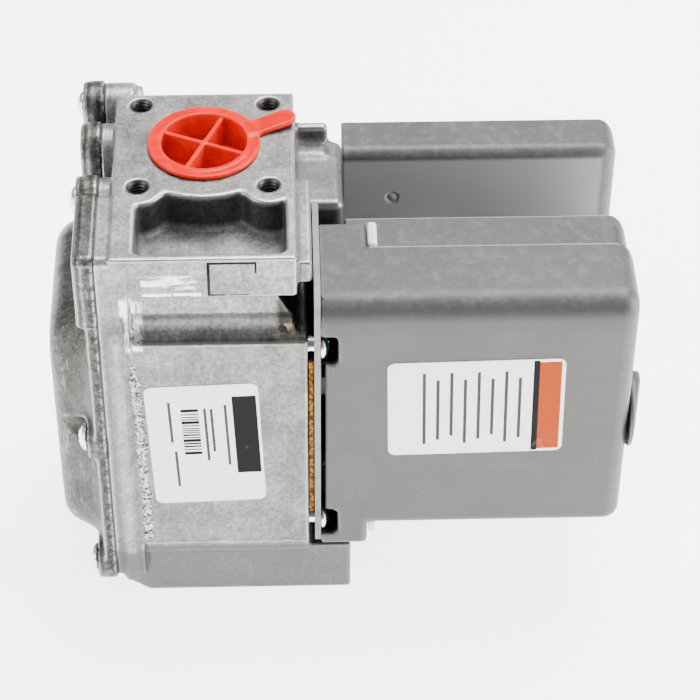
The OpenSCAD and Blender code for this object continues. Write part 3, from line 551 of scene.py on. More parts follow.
def plastic_material(name, base, roughness, grain=2600.0, bump=0.25, marks=(), **fixed):
    """Moulded plastic with a fine grain, rubbed light edges, light specks and settled dust."""
    material, tree, coords = start_material(name, **{"Specular IOR Level": 0.45, **fixed})
    texture = use_group(tree, "moulded_grain", {"Vector": coords, "Scale": grain})
    worn = use_group(tree, "edge_wear", {"Vector": coords, "Amount": 0.30})
    dust = use_group(tree, "dust", {"Vector": coords, "Amount": 0.10})["Mask"]
    pale = tint(base, 2.4, 0.04)
    colour = blend_colour(tree, ramp(tree, texture["Tone"], 0.35, 0.65), tint(base, 0.82), tint(base, 1.22))
    colour = blend_colour(tree, times(tree, texture["Speck"], 0.3), colour, pale)
    colour = blend_colour(tree, worn["Mask"], colour, pale)
    colour = blend_colour(tree, dust, colour, (0.62, 0.61, 0.58, 1))
    return end_material(material, {
        "Base Color": put_marks(tree, coords, colour, marks),
        "Roughness": plus(tree, times(tree, texture["Tone"], 0.18), roughness - 0.09, True),
    }, texture["Height"], bump, 0.00012)


def metal_material(name, base, roughness, direction=(1.0, 1.0, 1.0), tarnish=0.2, bump=0.15):
    """Drawn, turned or plated metal: fine lines along a direction and a cloudy tarnish."""
    material, tree, coords = start_material(name, Metallic=1.0)
    brush = noise(tree, stretched(tree, coords, direction), 1500.0, 4.0, 0.65)
    cloud = ramp(tree, noise(tree, coords, 220.0, 5.0, 0.6, 0.8), 0.45, 0.7)
    worn = use_group(tree, "edge_wear", {"Vector": coords, "Amount": 0.5})
    dim = tint(base, 0.55)
    colour = blend_colour(tree, times(tree, cloud, tarnish), (*base, 1), dim)
    colour = blend_colour(tree, times(tree, worn["Cavity"], 0.7), colour, dim)
    rough = plus(tree, times(tree, brush, 0.2), roughness - 0.1, True)
    return end_material(material, {"Base Color": colour, "Roughness": rough}, brush, bump, 0.0001)


def plug_material(base):
    """Soft red moulding with a faint glow under its skin and slight flow marks."""
    material, tree, coords = start_material("red_plug", **{
        "Subsurface Weight": 0.05, "Subsurface Scale": 0.001, "Specular IOR Level": 0.03,
        "Coat Weight": 0.2, "Coat Roughness": 0.06})
    flow = noise(tree, coords, 160.0, 3.0, 0.5, 1.5)
    grain = noise(tree, coords, 1400.0, 3.0, 0.6)
    worn = use_group(tree, "edge_wear", {"Vector": coords, "Amount": 0.25})
    colour = blend_colour(tree, ramp(tree, flow, 0.3, 0.7), tint(base, 0.72), (*base, 1))
    colour = blend_colour(tree, worn["Mask"], colour, (0.9, 0.03, 0.015, 1))
    rough = plus(tree, times(tree, flow, 0.2), 0.12, True)
    return end_material(material, {"Base Color": colour, "Roughness": rough}, grain, 0.12, 0.0001)


def cork_material(base):
    """Pressed cork: granules of several browns with dark binder between them, and a painted shadow over its top."""
    material, tree, coords = start_material("cork", **{"Roughness": 0.95, "Specular IOR Level": 0.05})
    cells = add(tree, "ShaderNodeTexVoronoi", {"Vector": coords, "Scale": 1500.0})
    tone = add(tree, "ShaderNodeSeparateColor", {0: cells.outputs["Color"]}).outputs[0]
    gap = ramp(tree, cells.outputs["Distance"], 0.42, 0.75)
    colour = blend_colour(tree, tone, (*base, 1), tint(base, 1.7))
    colour = blend_colour(tree, gap, colour, tint(base, 0.35))
    # Painted shadow over the top of the cork
    painted_cork_shadow = ((0, FRONT - 5, 68.0), (60, 60, 120), 0.2, EVEN, None, (0.010, 0.007, 0.005), 0.97)
    colour = put_marks(tree, coords, colour, [painted_cork_shadow])
    return end_material(material, {"Base Color": colour}, minus(tree, 1.0, gap), 0.8, 0.0003)


def film_material(name, base, roughness=0.38, fade=0.06):
    """Printed film: even colour with faint mottling and a few rubbed places."""
    material, tree, coords = start_material(name, **{"Specular IOR Level": 0.08})
    mottle = noise(tree, coords, 900.0, 4.0, 0.6)
    rub = noise(tree, coords, 130.0, 6.0, 0.7, 0.7)
    colour = blend_colour(tree, mottle, (*base, 1), tint(base, 1 - 2 * fade))
    colour = blend_colour(tree, times(tree, ramp(tree, rub, 0.6, 0.8), 0.25), colour, (0.7, 0.7, 0.68, 1))
    rough = plus(tree, times(tree, rub, 0.2), roughness - 0.1)
    return end_material(material, {"Base Color": colour, "Roughness": rough}, rub, 0.05, 0.0001)


def winding_material(name):
    """Enamelled copper wire, wound in fine even turns along X."""
    material, tree, coords = start_material(name, Metallic=0.85, Roughness=0.32)
    turns = add(tree, "ShaderNodeTexWave", {"Vector": coords, "Scale": 420.0, "Distortion": 0.4},
                wave_type="BANDS", bands_direction="X").outputs["Fac"]
    colour = blend_colour(tree, turns, (0.10, 0.03, 0.012, 1), (0.62, 0.24, 0.09, 1))
    return end_material(material, {"Base Color": colour}, turns, 0.6, 0.0002)


def board_material(name):
    """Green circuit board with faint copper tracks under its mask."""
    material, tree, coords = start_material(name, Roughness=0.35)
    tracks = add(tree, "ShaderNodeTexBrick", {
        "Vector": coords, "Scale": 240.0, "Color1": (0.02, 0.13, 0.05, 1), "Color2": (0.015, 0.10, 0.035, 1),
        "Mortar": (0.05, 0.24, 0.10, 1), "Mortar Size": 0.03}).outputs
    return end_material(material, {"Base Color": tracks["Color"]}, tracks["Fac"], 0.3, 0.00005)


# ---- driving dimensions read from the frame -------------------------------------------------------

body_low, body_high = box_mm("valve_body")
cover_low, cover_high = box_mm("bottom_cover")
plate_high = box_mm("top_plate")[1]
cork_low, cork_high = box_mm("cork_gasket")
house_low, house_high = box_mm("housing")
plug_low, plug_high = box_mm("inlet_plug")
knob_low, knob_high = box_mm("on_off_knob")

TOP = body_high[2]
FRONT = body_low[1]
BACK = plate_high[1]
LEFT = body_low[0]
RIGHT = cork_low[0]
HALF_FLANGE = 17.8
FLANGE_BACK = 16.4
FLANGE_Z = TOP - 9.7
LOWER_TOP = TOP - 21.5
LIP_Z = 16.0
OUTLET_T = 13.4
PORT_R = 9.5
HALF_PITCH = 12.7
FLANGE_HOLES = [(x, y, z, way) for z, way in ((TOP, 1), (0, -1)) for x in (-HALF_PITCH, HALF_PITCH)
                for y in (-HALF_PITCH, HALF_PITCH)]
JOINT_T = 5.8
MAIN_YZ = (-6.2, 45.0)
CHAMBER_R = 20.5
FIRST, SERVO, REGULATOR = ((-15.5, 57.0), 9.0), ((3.0, 34.0), 7.0), ((4.0, 58.0), 8.0)
RIM_X = cover_high[0] - 2.2
BOSS_X = RIM_X - 1.6
SCREW_LOBE = 4.4
COVER_SCREW_L, PLATE_SCREW_L, HOUSING_SCREW_L = 8.5, 7.4, 5.9
COVER_SCREWS = [(FRONT + 3.6, 9.0), (FRONT + 3.6, MAIN_YZ[1]), (-10.6, TOP - 5), (BACK - 0.6, TOP - 6),
                (BACK - 3.4, MAIN_YZ[1]), (BACK - 3.4, 9.0)]
LUG = (5.8, TOP - 5.6)
TAPS = (TOP - 18, 22.0)
LOBE_TOP = TOP - 12.5
STRIP_TOP = TOP - 16.5
REAR_FRONT = house_high[1] - 10.5
EVEN = (1, 1, 1)
VALVE = "valve"


def cover_outline(y, z):
    """Distance in the joint plane to the outline that body and cover share."""
    shape = flat_box(y, z, (FRONT, 5.0), (BACK, TOP - 17), 4.0)
    shape = join(shape, flat_box(y, z, (FRONT, TOP - 30), (FRONT + 20, TOP - 0.2), 1.5), 1.0)
    for centre, radius in ((COVER_SCREWS[2], SCREW_LOBE), (COVER_SCREWS[3], SCREW_LOBE), (LUG, 5.2)):
        low, high = (centre[0] - radius, centre[1] - 16), (centre[0] + radius, centre[1] + radius)
        lobe = flat_box(y, z, low, high, radius)
        shape = join(shape, lobe, 1.5)
    return shape


def gas_ways(p):
    """Distance to the ports, pockets and chambers inside the body."""
    main = cut(bar(p, 0, MAIN_YZ, CHAMBER_R, LEFT - 2, -8, 0.3), bar(p, 0, MAIN_YZ, 11.0, -13, 0, 0.3))
    parts = [
        bar(p, 2, (0, 0), PORT_R, 58, TOP + 5), bar(p, 2, (0, 0), PORT_R, -5, 47),
        bar(p, 0, *FIRST, 3, RIGHT + 3), bar(p, 0, *SERVO, 12, RIGHT + 3),
        bar(p, 0, *REGULATOR, 15.5, RIGHT + 3), bar(p, 0, FIRST[0], 3.2, -12, 8),
        bar(p, 0, SERVO[0], 1.0, 6, 16), bar(p, 1, (10, 62), 4.0, -15.5, 0),
        bar(p, 0, MAIN_YZ, 8.5, -14, 0), main,
    ]
    return functools.reduce(np.minimum, parts + [bar(p, 1, (0, z), 4.35, PORT_R - 2, BACK + 5) for z in TAPS])


def body_field(edge, fillet):
    """Distance formula of the body casting."""

    def field(p):
        x, y, z = p
        soft = 0.03 * ripple(p, 9.0, 3)
        shape = rounded_box(p, (-HALF_FLANGE, FRONT, FLANGE_Z), (HALF_FLANGE, FLANGE_BACK, TOP), edge * 0.7)
        neck = rounded_box(p, (LEFT + 3, FRONT + 2.3, LOWER_TOP - 2), (HALF_FLANGE - 0.6, 15, FLANGE_Z + 2),
                           edge)
        shape = join(shape, neck, fillet)
        shape = join(shape, bar(p, 2, (0, 0), 16.5, LOWER_TOP - 2, FLANGE_Z + 2, edge), fillet)
        lower = rounded_box(p, (LEFT + 3, FRONT, LIP_Z), (RIGHT, BACK, LOWER_TOP), edge)
        shape = join(shape, lower, fillet * 1.6)
        step = rounded_box(p, (LEFT + 3, FRONT + 1.2, OUTLET_T - 1), (RIGHT, BACK, LIP_Z + 1), edge)
        shape = join(shape, step, 0.6)
        outlet = rounded_box(p, (-18.7, FRONT + 1.8, 0), (body_high[0], FLANGE_BACK, OUTLET_T), edge)
        corner = ((-16.4 - x) * 3.0 + (FRONT + 3.3 - y) * 4.5) / math.hypot(3.0, 4.5)
        shape = join(shape, -join(-outlet, -corner, 0.5), 0.8)
        outline = cover_outline(y, z) - 0.07
        shape = join(shape, slab(p, 0, outline, LEFT - 0.2, LEFT + JOINT_T, edge * 0.5), 0.2)
        for centre in COVER_SCREWS[2:4]:
            lobe = bar(p, 0, centre, SCREW_LOBE - 0.6, LEFT + 1, LEFT + JOINT_T + 1.8, edge)
            shape = join(shape, lobe, 1.0)
        # Rounded column beside the front seam, with a domed top
        column = np.hypot(np.hypot(x - LEFT - 3.1, y - FRONT - 0.9), np.maximum(z - TOP + 22, 0) * 0.45) - 1.9
        shape = join(shape, np.maximum(column, np.maximum(6 - z, z - TOP + 6)), 0.7)
        boss = rounded_box(p, (HALF_FLANGE - 6, -6.8, TOP - 23), (27.35, 13.8, TOP - 10), 1.6)
        rear = rounded_box(p, (HALF_FLANGE - 6, 7.8, TOP - 22), (24.3, 18.8, TOP - 9.4), 1.2)
        fin = rounded_box(p, (HALF_FLANGE - 2, 12.2, TOP - 20), (24.6, 14.4, TOP - 5.8), 0.9)
        rear = join(rear, fin, 0.8)
        web = rounded_box(p, (HALF_FLANGE - 1, FRONT + 1.4, TOP - 7.5), (RIGHT + 0.9, -7.8, TOP - 2.5), edge)
        shape = join(join(join(shape, boss, fillet), rear, fillet), web, 0.8)
        for height in TAPS:
            shape = join(shape, bar(p, 1, (0, height), 6.9, 0, BACK + 1.5, edge), fillet)
        shape = shape + soft
        # Casting pocket around the port and the two front screw bosses
        pocket = rounded_box(p, (-12.9, FRONT + 1.9, TOP - 8), (15.8, FRONT + 26, TOP + 6), 1.4)
        keep = disc(x, y, (0, 0), 16.0)
        for side in (-HALF_PITCH, HALF_PITCH):
            keep = join(keep, disc(x, y, (side, -HALF_PITCH), 5.2), 2.0)
        pocket = cut(pocket, keep + 0 * z, 1.2)
        shape = cut(shape, pocket, 0.7)
        # Hollow band under the flange
        band = np.hypot((y - FRONT - 0.2), (z - LOWER_TOP - 3.0)) - 3.0
        shape = cut(shape, np.maximum(band, LEFT + JOINT_T + 0.4 - x), 1.0)
        gap = rounded_box(p, (14.2, FRONT - 3, LOWER_TOP + 4), (30, FRONT + 11, FLANGE_Z), 0.3)
        gap = np.maximum(gap, (16.2 - x - (z - LOWER_TOP - 6) * 0.5) * 0.9)
        shape = cut(shape, gap, 0.5)
        shape = cut(shape, gas_ways(p), 0.25)
        for centre in COVER_SCREWS:
            shape = cut(shape, bar(p, 0, centre, 1.7, LEFT - 2, LEFT + 4))
        for hole_x, hole_y, face, way in FLANGE_HOLES:
            start, end = sorted((face + way * 3, face - way * 9))
            shape = cut(shape, bar(p, 2, (hole_x, hole_y), 2.1, start, end), 0.5)
        return shape

    return field


def cover_field(edge, fillet):
    """Distance formula of the bottom cover with its dome."""

    def field(p):
        x, y, z = p
        outline = cover_outline(y, z) - 0.07
        face = cover_high[0] + 0.2
        shape = slab(p, 0, outline, RIM_X, face, edge * 0.5)
        top = np.maximum(outline, TOP - 17 - z)
        shape = join(shape, slab(p, 0, top, BOSS_X, face, edge * 0.6), 1.2)
        for centre in COVER_SCREWS:
            shape = join(shape, bar(p, 0, centre, SCREW_LOBE, BOSS_X, face, edge * 0.6), fillet)
        height = RIM_X - x
        foot = flat_box(y, z, (MAIN_YZ[0] - 24, 7.0), (MAIN_YZ[0] + 24, 72.0), 14.0)
        slope = (foot + 0.55 * np.maximum(height, -1)) * 0.85
        dome = -join(-slope, -(height - (RIM_X - cover_low[0])), 3.0)
        dome = np.maximum(dome, x - cover_high[0])
        shape = join(shape, dome, 2.4)
        shape = shape + 0.05 * ripple(p, 7.0, 8) + 0.02 * ripple(p, 2.6, 5)
        for centre in COVER_SCREWS:
            shape = cut(shape, bar(p, 0, centre, 3.8, BOSS_X - 12, BOSS_X, 0.3), 0.8)
            shape = cut(shape, bar(p, 0, centre, 1.9, BOSS_X - 2, cover_high[0] + 2))
        hollow = bar(p, 0, MAIN_YZ, 18.2, cover_low[0] + 2, cover_high[0] + 4, 2.0)
        hollow = join(hollow, bar(p, 0, MAIN_YZ, CHAMBER_R, RIM_X, cover_high[0] + 4, 0.4), 0.5)
        shape = cut(shape, hollow, 0.3)
        return np.maximum(shape, x - face)

    return field


def housing_field(edge, wall):
    """Distance formula of the plastic housing: outer form less the same form drawn in by its wall."""
    valley_z, foot = 49.5, 21.3
    front_back, strip_back = FRONT - 0.3 + 17.9, REAR_FRONT - 15.0
    x0, x1, y0, y1 = house_low[0], house_high[0], house_low[1], house_high[1]
    collar_x = x0 + 9.6

    def form(p, t):
        near = x0 - 3 if t else x0 - 6
        shape = None
        for (a, b), top, front_r in (((y0, front_back), LOBE_TOP, 4.8), ((y0, strip_back), STRIP_TOP, 3.0),
                                     ((y0, y1), valley_z, 3.0), ((REAR_FRONT, y1), LOBE_TOP + 0.5, 2.4)):
            middle = ((a + b) / 2, (foot + top) / 2)
            half = ((b - a) / 2 - t, (top - foot) / 2 - t)
            upper = np.where(p[1] < middle[0], max(front_r - t, 0.4), 0.4)
            r = np.where(p[2] > middle[1], upper, max(2.0 - t, 0.4))
            q = abs(p[1] - middle[0]) - half[0] + r, abs(p[2] - middle[1]) - half[1] + r
            lobe = slab(p, 0, corner(*q, r), near, x1 - t, max(edge - t, 0.8))
            shape = lobe if shape is None else np.minimum(shape, lobe)
        for front, rear, top in ((y0 + 5 + t, -9.4 - t, LOBE_TOP - t), (y0 + t, y1 - t, 28.0)):
            collar = rounded_box(p, (near, front, 15.7 + t), (collar_x - t, rear, top), max(1.0 - t, 0.2))
            shape = np.minimum(shape, collar)
        return shape

    def field(p):
        x, y, z = p
        shape = cut(form(p, 0), form(p, wall), 0.2)
        shape = np.maximum(shape, x0 - x)
        shape = cut(shape, rounded_box(p, (x0 - 3, -9.4, TOP - 24.5), (27.6, 40, TOP + 9), 0.5), 0.4)
        for middle in (TOP - 24.0, 22.4):
            notch = rounded_box(p, (x0 - 3, y0 - 3, middle - 3.6), (x0 + 3.4, y0 + 6, middle + 3.6), 1.2)
            shape = cut(shape, notch, 0.4)
        between = rounded_box(p, (x0 - 1, y0 - 1, 21.6), (x0 + 1, y0 + wall + 0.1, TOP - 24.8), 0.2)
        shape = cut(shape, between, 0.2)
        shape = cut(shape, bar(p, 0, (knob_yz[0], knob_yz[1]), 2.8, x1 - 4, x1 + 4), 0.2)
        socket = box_mm("harness_socket")
        shape = cut(shape, rounded_box(p, socket[0] - (0, 0, 3), socket[1] - (0, 0, 6), 0.1))
        for height in (30.0, 62.0):
            shape = cut(shape, bar(p, 1, (x0 + 4, height), 1.9, y1 - 4, y1 + 4))
        # Round gate mark on the rear lobe: a shallow ring with a nub
        ring = np.hypot(x - 38, z - TOP + 24.0)
        dent = np.hypot(abs(ring - 1.0), (y - REAR_FRONT) * 1.2) - 0.45
        return cut(shape, dent, 0.2)

    knob_yz = ((knob_low[1] + knob_high[1]) / 2, (knob_low[2] + knob_high[2]) / 2)
    return field


def plug_field():
    """Distance formula of the inlet plug: rim, cup, cross rib and a pull tab tilted up a little."""
    wall, cup_r, rim_r = 1.0, PORT_R - 0.05, 11.15
    floor = plug_low[2]
    turn, tilt = math.radians(23), 0.09

    def field(p):
        x, y, z = p
        reach = x * math.cos(turn) + y * math.sin(turn)
        side = y * math.cos(turn) - x * math.sin(turn)
        rim_top = plug_high[2]
        shape = bar(p, 2, (0, 0), cup_r, floor, rim_top, 0.3)
        shape = join(shape, bar(p, 2, (0, 0), rim_r, TOP, rim_top, 0.42), 0.3)
        raised = z - np.maximum(reach - rim_r, 0) * tilt
        outline = flat_box(reach, side, (7.0, -2.2), (19.6, 2.2), 2.2)
        tab = slab((x, y, raised), 2, outline, TOP + 0.02, rim_top + 0.1, 0.4)
        shape = join(shape, tab, 0.8)
        shape = cut(shape, bar(p, 2, (0, 0), cup_r - wall, floor + wall, rim_top + 9, 0.6), 0.25)
        for angle in (-24, 66):
            c, s = math.cos(math.radians(angle)), math.sin(math.radians(angle))
            along, across = x * c + y * s, y * c - x * s
            rib = rounded_box((along, across, z), (-cup_r + 0.4, -wall * 0.45, floor + 0.4),
                              (cup_r - 0.4, wall * 0.45, rim_top - 0.35), 0.2)
            shape = join(shape, rib, 0.5)
        return shape

    return field


def screw_shape(length):
    """Pan-head screw along +Z with a cross recess, its head resting at z = 0."""
    head_r, head_h, shank = 3.0, 2.0, 1.65

    def field(p):
        x, y, z = p
        crown = np.sqrt(x * x + y * y + (z + 2.2) ** 2) - 4.15
        head = -join(-bar(p, 2, (0, 0), head_r, 0, head_h + 1, 0.5), -crown, 0.5)
        shape = join(head, bar(p, 2, (0, 0), shank, -length, 0.5, 0.2), 0.1)
        c = math.sqrt(0.5)
        for along, across in (((x + y) * c, (y - x) * c), ((y - x) * c, (x + y) * c)):
            taper = abs(along) - 1.75 + np.maximum(head_h - z, 0) * 0.7
            slot = np.maximum(np.maximum(taper * 0.8, abs(across) - 0.34), 0.75 - z)
            shape = cut(shape, slot, 0.12)
        return shape

    return surface(field, (-head_r, -head_r, -length), (head_r, head_r, head_h), 0.24)


def place_screws(name, node, seats, turn, length, material):
    """One piece with a screw at each seat, each turned from +Z to the same direction."""
    points, quads, normals, marks = screw_shape(length)
    matrix = np.array(turn, float)
    spin = np.random.default_rng(len(seats))
    all_points, all_normals = [], []
    for seat in seats:
        a = spin.uniform(0, math.pi)
        roll = np.array([[math.cos(a), -math.sin(a), 0], [math.sin(a), math.cos(a), 0], [0, 0, 1]])
        all_points.append(points @ (matrix @ roll).T + np.array(seat))
        all_normals.append(normals @ (matrix @ roll).T)
    faces = np.concatenate([quads + k * len(points) for k in range(len(seats))])
    marks = {key: np.tile(value, len(seats)) for key, value in marks.items()}
    piece = make_mesh(name, np.concatenate(all_points), faces, VALVE, material,
                      np.concatenate(all_normals), marks)
    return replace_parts(piece, node)


# ---- operators ------------------------------------------------------------------------------------


class GASVALVE_OT_body(Operator):
    """Build the die-cast body, its seam flash, its tapped holes and its ink frame"""

    bl_idname = "gasvalve.body"
    bl_label = "Body casting"

    def execute(self, context):
        sizes, colours = context.scene.gas_valve_sizes, context.scene.gas_valve_colours
        bright, dark, tan = (0.85, 0.85, 0.84), (0.018, 0.017, 0.015), (0.42, 0.33, 0.22)
        shade, even, top, near = (0.075, 0.075, 0.072), EVEN, TOP, FRONT - 1
        # These marks hold painted shade as well as real scuffs, a torn edge and a tan residue
        rubbed = [
            # Painted shade on the outlet block and the side boss, and a lighter painted shade on the left strip and the
            # lower front face
            ((-25, near, -1), (40, 30, OUTLET_T + 0.6), 1.0, even, None, shade, 0.85),
            ((HALF_FLANGE + 0.6, FRONT, 60), (30, 30, TOP - 3), 0.6, even, None, shade, 0.45),
            ((LEFT, near, 10), (-14.8, FRONT + 4, 80), 1.5, even, None, shade, 0.3),
            ((-14.0, near, 14), (30, FRONT + 0.6, LOWER_TOP), 1.0, even, None, shade, 0.3),
            # Scuffed places on the flange's front
            ((-11.5, near, top - 7.2), (-1.5, FRONT + 1, top - 4.4), 0.5, (0.22, 1, 1.2), 0.47, bright, 0.9),
            ((-11.5, near, top - 9.3), (-6.2, FRONT + 1, top - 8.6), 0.2, (0.4, 1, 1), 0.3, bright, 0.95),
            ((-5.6, near, top - 9.2), (-0.5, FRONT + 1, top - 8.5), 0.2, (0.4, 1, 1), 0.3, bright, 0.95),
            # Torn edge beside the neck
            ((-15.0, near, top - 23), (-12.6, FRONT + 4, top - 13), 0.7, (1.4, 1, 0.4), 0.44, bright, 1.0),
            ((-15.9, near, top - 14), (-14.2, FRONT + 4, top - 10), 0.5, (1.4, 1, 0.4), 0.46, bright, 1.0),
            ((-16.2, near, top - 27), (-13.0, FRONT + 4, top - 9), 0.8, (1.0, 1, 0.4), 0.56, dark, 0.7),
            # Painted shade in the pocket, the hollow band and the gap at the neck's right end
            ((-12.6, FRONT + 12.5, top - 6.6), (15.5, FRONT + 30, top - 1.4), 0.9, even, 0.10, dark, 0.6),
            ((-13.6, FRONT - 0.5, LOWER_TOP - 0.3), (19, FRONT + 7, LOWER_TOP + 4.2), 1.6, even, 0.2, dark,
             0.22),
            ((14.4, FRONT + 0.8, LOWER_TOP + 1), (22, FRONT + 20, FLANGE_Z - 0.2), 1.0, even, 0.1, dark, 0.9),
            ((13.5, near, LOWER_TOP + 0.2), (18.5, FRONT + 4, LOWER_TOP + 1.6), 0.6, even, 0.46, tan, 0.8),
        ]
        skin = casting_material("body_casting", colours.casting, (0.13, 0.125, 0.115), 0.5, 1.0, 0.6, rubbed)
        field = body_field(sizes.cast_edge, sizes.cast_fillet)
        piece = make_solid("body_casting", field, body_low, body_high, sizes.body_cell, VALVE, skin)
        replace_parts(piece, "valve_body")
        self.seam_flash(flash_material())
        self.tapped_holes()
        self.ink_frame()
        return {"FINISHED"}

    def seam_flash(self, grit):
        """Crumbly bead of flash down the front seam: a tube whose radius follows seeded noise."""
        rows, columns = 700, 14
        t = np.linspace(0, 1, rows)[:, None]
        a = np.linspace(0, 2 * math.pi, columns, endpoint=False)[None]
        z = TOP - 26 + t * (LIP_Z + 1 - TOP + 26)
        line_x = np.interp(z, (16, 30, 58.5, 85), (-13.5, -13.5, -14.1, -15.7))
        wave = ripple((0 * z, 0 * z, z), 1.6, 11) + 0.8 * ripple((0 * z, 0 * z, z), 0.6, 12)
        lumps = ripple((3 * np.cos(a), 3 * np.sin(a), z * 2.0), 1.1, 13)
        radius = np.clip(0.95 + 0.45 * wave + 0.45 * lumps, 0.3, 1.6) * np.minimum(1, 30 * t * (1 - t) + 0.05)
        x = line_x + 0.3 * wave + radius * np.cos(a)
        y = FRONT + 0.25 + radius * np.sin(a) * 0.62
        points = np.stack([x, y, z + 0 * a], -1).reshape(-1, 3)
        points[:, 1] = np.maximum(points[:, 1], FRONT - 0.75)
        faces = grid_faces(rows, columns, wrap_columns=True)
        ends = np.array([[0, k, k + 1, 0] for k in range(1, columns - 1)])
        caps = np.concatenate([ends[:, [0, 1, 2]], (ends[:, [0, 2, 1]] + (rows - 1) * columns)])
        mesh_faces = np.concatenate([faces[:, [0, 1, 2]], faces[:, [0, 2, 3]], caps])
        return make_mesh("seam_flash", points, mesh_faces, VALVE, grit,
                         marks={"wear": np.clip(radius.ravel() - 0.3, 0, 1)})

    def tapped_holes(self):
        """Tapped linings of the eight flange holes: r follows a helical saw along the depth."""
        metal = metal_material("cut_thread", (0.10, 0.098, 0.09), 0.42, tarnish=0.6)
        rows, columns = 96, 40
        depth = np.concatenate([[0.0, 0.05], np.linspace(0.5, 8.4, rows - 4), [8.4, 8.4]])
        a = np.linspace(0, 2 * math.pi, columns, endpoint=False)
        pitch = 0.79
        saw = abs(((depth[:, None] / pitch - a[None] / (2 * math.pi)) % 1) - 0.5) * 2
        radius = 1.66 + 0.36 * saw
        radius[:3] = [[2.40], [2.05], [1.98]]
        radius[-2:] = [[1.6], [0.02]]
        # Outer wall and floor of the sleeve, hidden in the casting
        outer = np.full((3, columns), 2.44)
        outer[0] = 0.02
        radius = np.concatenate([outer, radius])
        depth = np.concatenate([[8.8, 8.8, 0.3], depth])
        points = np.stack([radius * np.cos(a), radius * np.sin(a), -depth[:, None] + 0 * a], -1)
        faces = grid_faces(len(depth), columns, True, True)
        flat = points.reshape(-1, 3)
        all_points = [flat * (1, 1, way) + (x, y, face - way * 0.02) for x, y, face, way in FLANGE_HOLES]
        all_faces = [(faces if way < 0 else faces[:, ::-1]) + k * len(flat)
                     for k, (_x, _y, _face, way) in enumerate(FLANGE_HOLES)]
        return make_mesh("tapped_holes", np.concatenate(all_points), np.concatenate(all_faces), VALVE, metal)

    def ink_frame(self):
        """Empty ink frame stamped on the front of the flange, four thin bars."""
        ink = film_material("stamp_ink", (0.012, 0.013, 0.018), 0.6, 0.2)
        x0, x1, z0, z1, w = 0.8, 10.2, TOP - 9.2, TOP - 0.8, 0.55
        front, rear = FRONT - 0.03, FRONT + 0.05
        # The ring is worn: its right side and part of its foot are gone
        rims = [(x0, z0, x0 + 3.4, z0 + w * 0.7), (x0 + 4.3, z0 + 0.1, x1 - 1.6, z0 + w * 0.5),
                (x0, z1 - w, x1, z1), (x0, z0 + w * 0.7, x0 + w, z1 - w),
                (x1 - w * 0.7, z1 - w - 2.3, x1, z1 - w)]
        points, faces = boxes_mesh([((a, front, b), (c, rear, d)) for a, b, c, d in rims])
        return make_mesh("ink_frame", points, faces, VALVE, ink)


class GASVALVE_OT_cover(Operator):
    """Build the bottom cover with its dome"""

    bl_idname = "gasvalve.cover"
    bl_label = "Bottom cover"

    def execute(self, context):
        sizes, colours = context.scene.gas_valve_sizes, context.scene.gas_valve_colours
        skin = casting_material("cover_casting", colours.cover, (0.030, 0.027, 0.022), 0.75, 1.3, 0.45,
                                [((cover_high[0] - 1.2, FRONT - 1, 5), (cover_high[0] + 1, 30, TOP), 0.2,
                                  EVEN, 0.46, (0.02, 0.018, 0.015), 0.85)])
        piece = make_solid("bottom_cover_casting", cover_field(sizes.cast_edge, sizes.cast_fillet), cover_low,
                           cover_high, sizes.cover_cell, VALVE, skin)
        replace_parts(piece, "bottom_cover")
        return {"FINISHED"}


class GASVALVE_OT_screws(Operator):
    """Build the pan-head screws of the cover, the plate and the housing"""

    bl_idname = "gasvalve.screws"
    bl_label = "Screws"

    def execute(self, context):
        metal = metal_material("bright_screw", (0.80, 0.81, 0.82), 0.20, tarnish=0.25)
        left = [[0, 0, -1], [0, 1, 0], [1, 0, 0]]
        right = [[0, 0, 1], [0, 1, 0], [-1, 0, 0]]
        back = [[1, 0, 0], [0, 0, 1], [0, -1, 0]]
        seats = [(BOSS_X, *s) for s in COVER_SCREWS]
        place_screws("cover_screws_pan", "cover_screws", seats, left, COVER_SCREW_L, metal)
        rear = house_high[1] - 5.25
        seats = [(plate_high[0], *s) for s in (
            (FRONT + 2.8, TOP - 24.8), (FRONT + 2.8, 21.6), (rear, TOP - 28), (rear, 21.6))]
        place_screws("plate_screws_pan", "plate_screws", seats, right, PLATE_SCREW_L, metal)
        seats = [(house_low[0] + 4, house_high[1], z) for z in (30.0, 62.0)]
        place_screws("housing_screws_pan", "housing_screws", seats, back, HOUSING_SCREW_L, metal)
        return {"FINISHED"}


class GASVALVE_OT_plug(Operator):
    """Build the red inlet plug"""

    bl_idname = "gasvalve.plug"
    bl_label = "Inlet plug"

    def execute(self, context):
        sizes, colours = context.scene.gas_valve_sizes, context.scene.gas_valve_colours
        piece = make_solid("inlet_plug_moulding", plug_field(), plug_low, plug_high, sizes.fine_cell, "plug",
                           plug_material(colours.plug))
        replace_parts(piece, "inlet_plug")
        return {"FINISHED"}


class GASVALVE_OT_gasket(Operator):
    """Build the cork gasket with its crumbly edge"""

    bl_idname = "gasvalve.gasket"
    bl_label = "Cork gasket"

    def execute(self, context):
        def field(p):
            shape = rounded_box(p, cork_low, cork_high, 0.25) + 0.09 * ripple(p, 1.3, 21) + 0.08
            for centre, radius in (FIRST, SERVO, REGULATOR):
                shape = cut(shape, bar(p, 0, centre, radius, cork_low[0] - 1, cork_high[0] + 1))
            return shape

        piece = make_solid("cork_gasket_sheet", field, cork_low, cork_high, 0.42, VALVE,
                           cork_material(context.scene.gas_valve_colours.cork))
        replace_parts(piece, "cork_gasket")
        return {"FINISHED"}


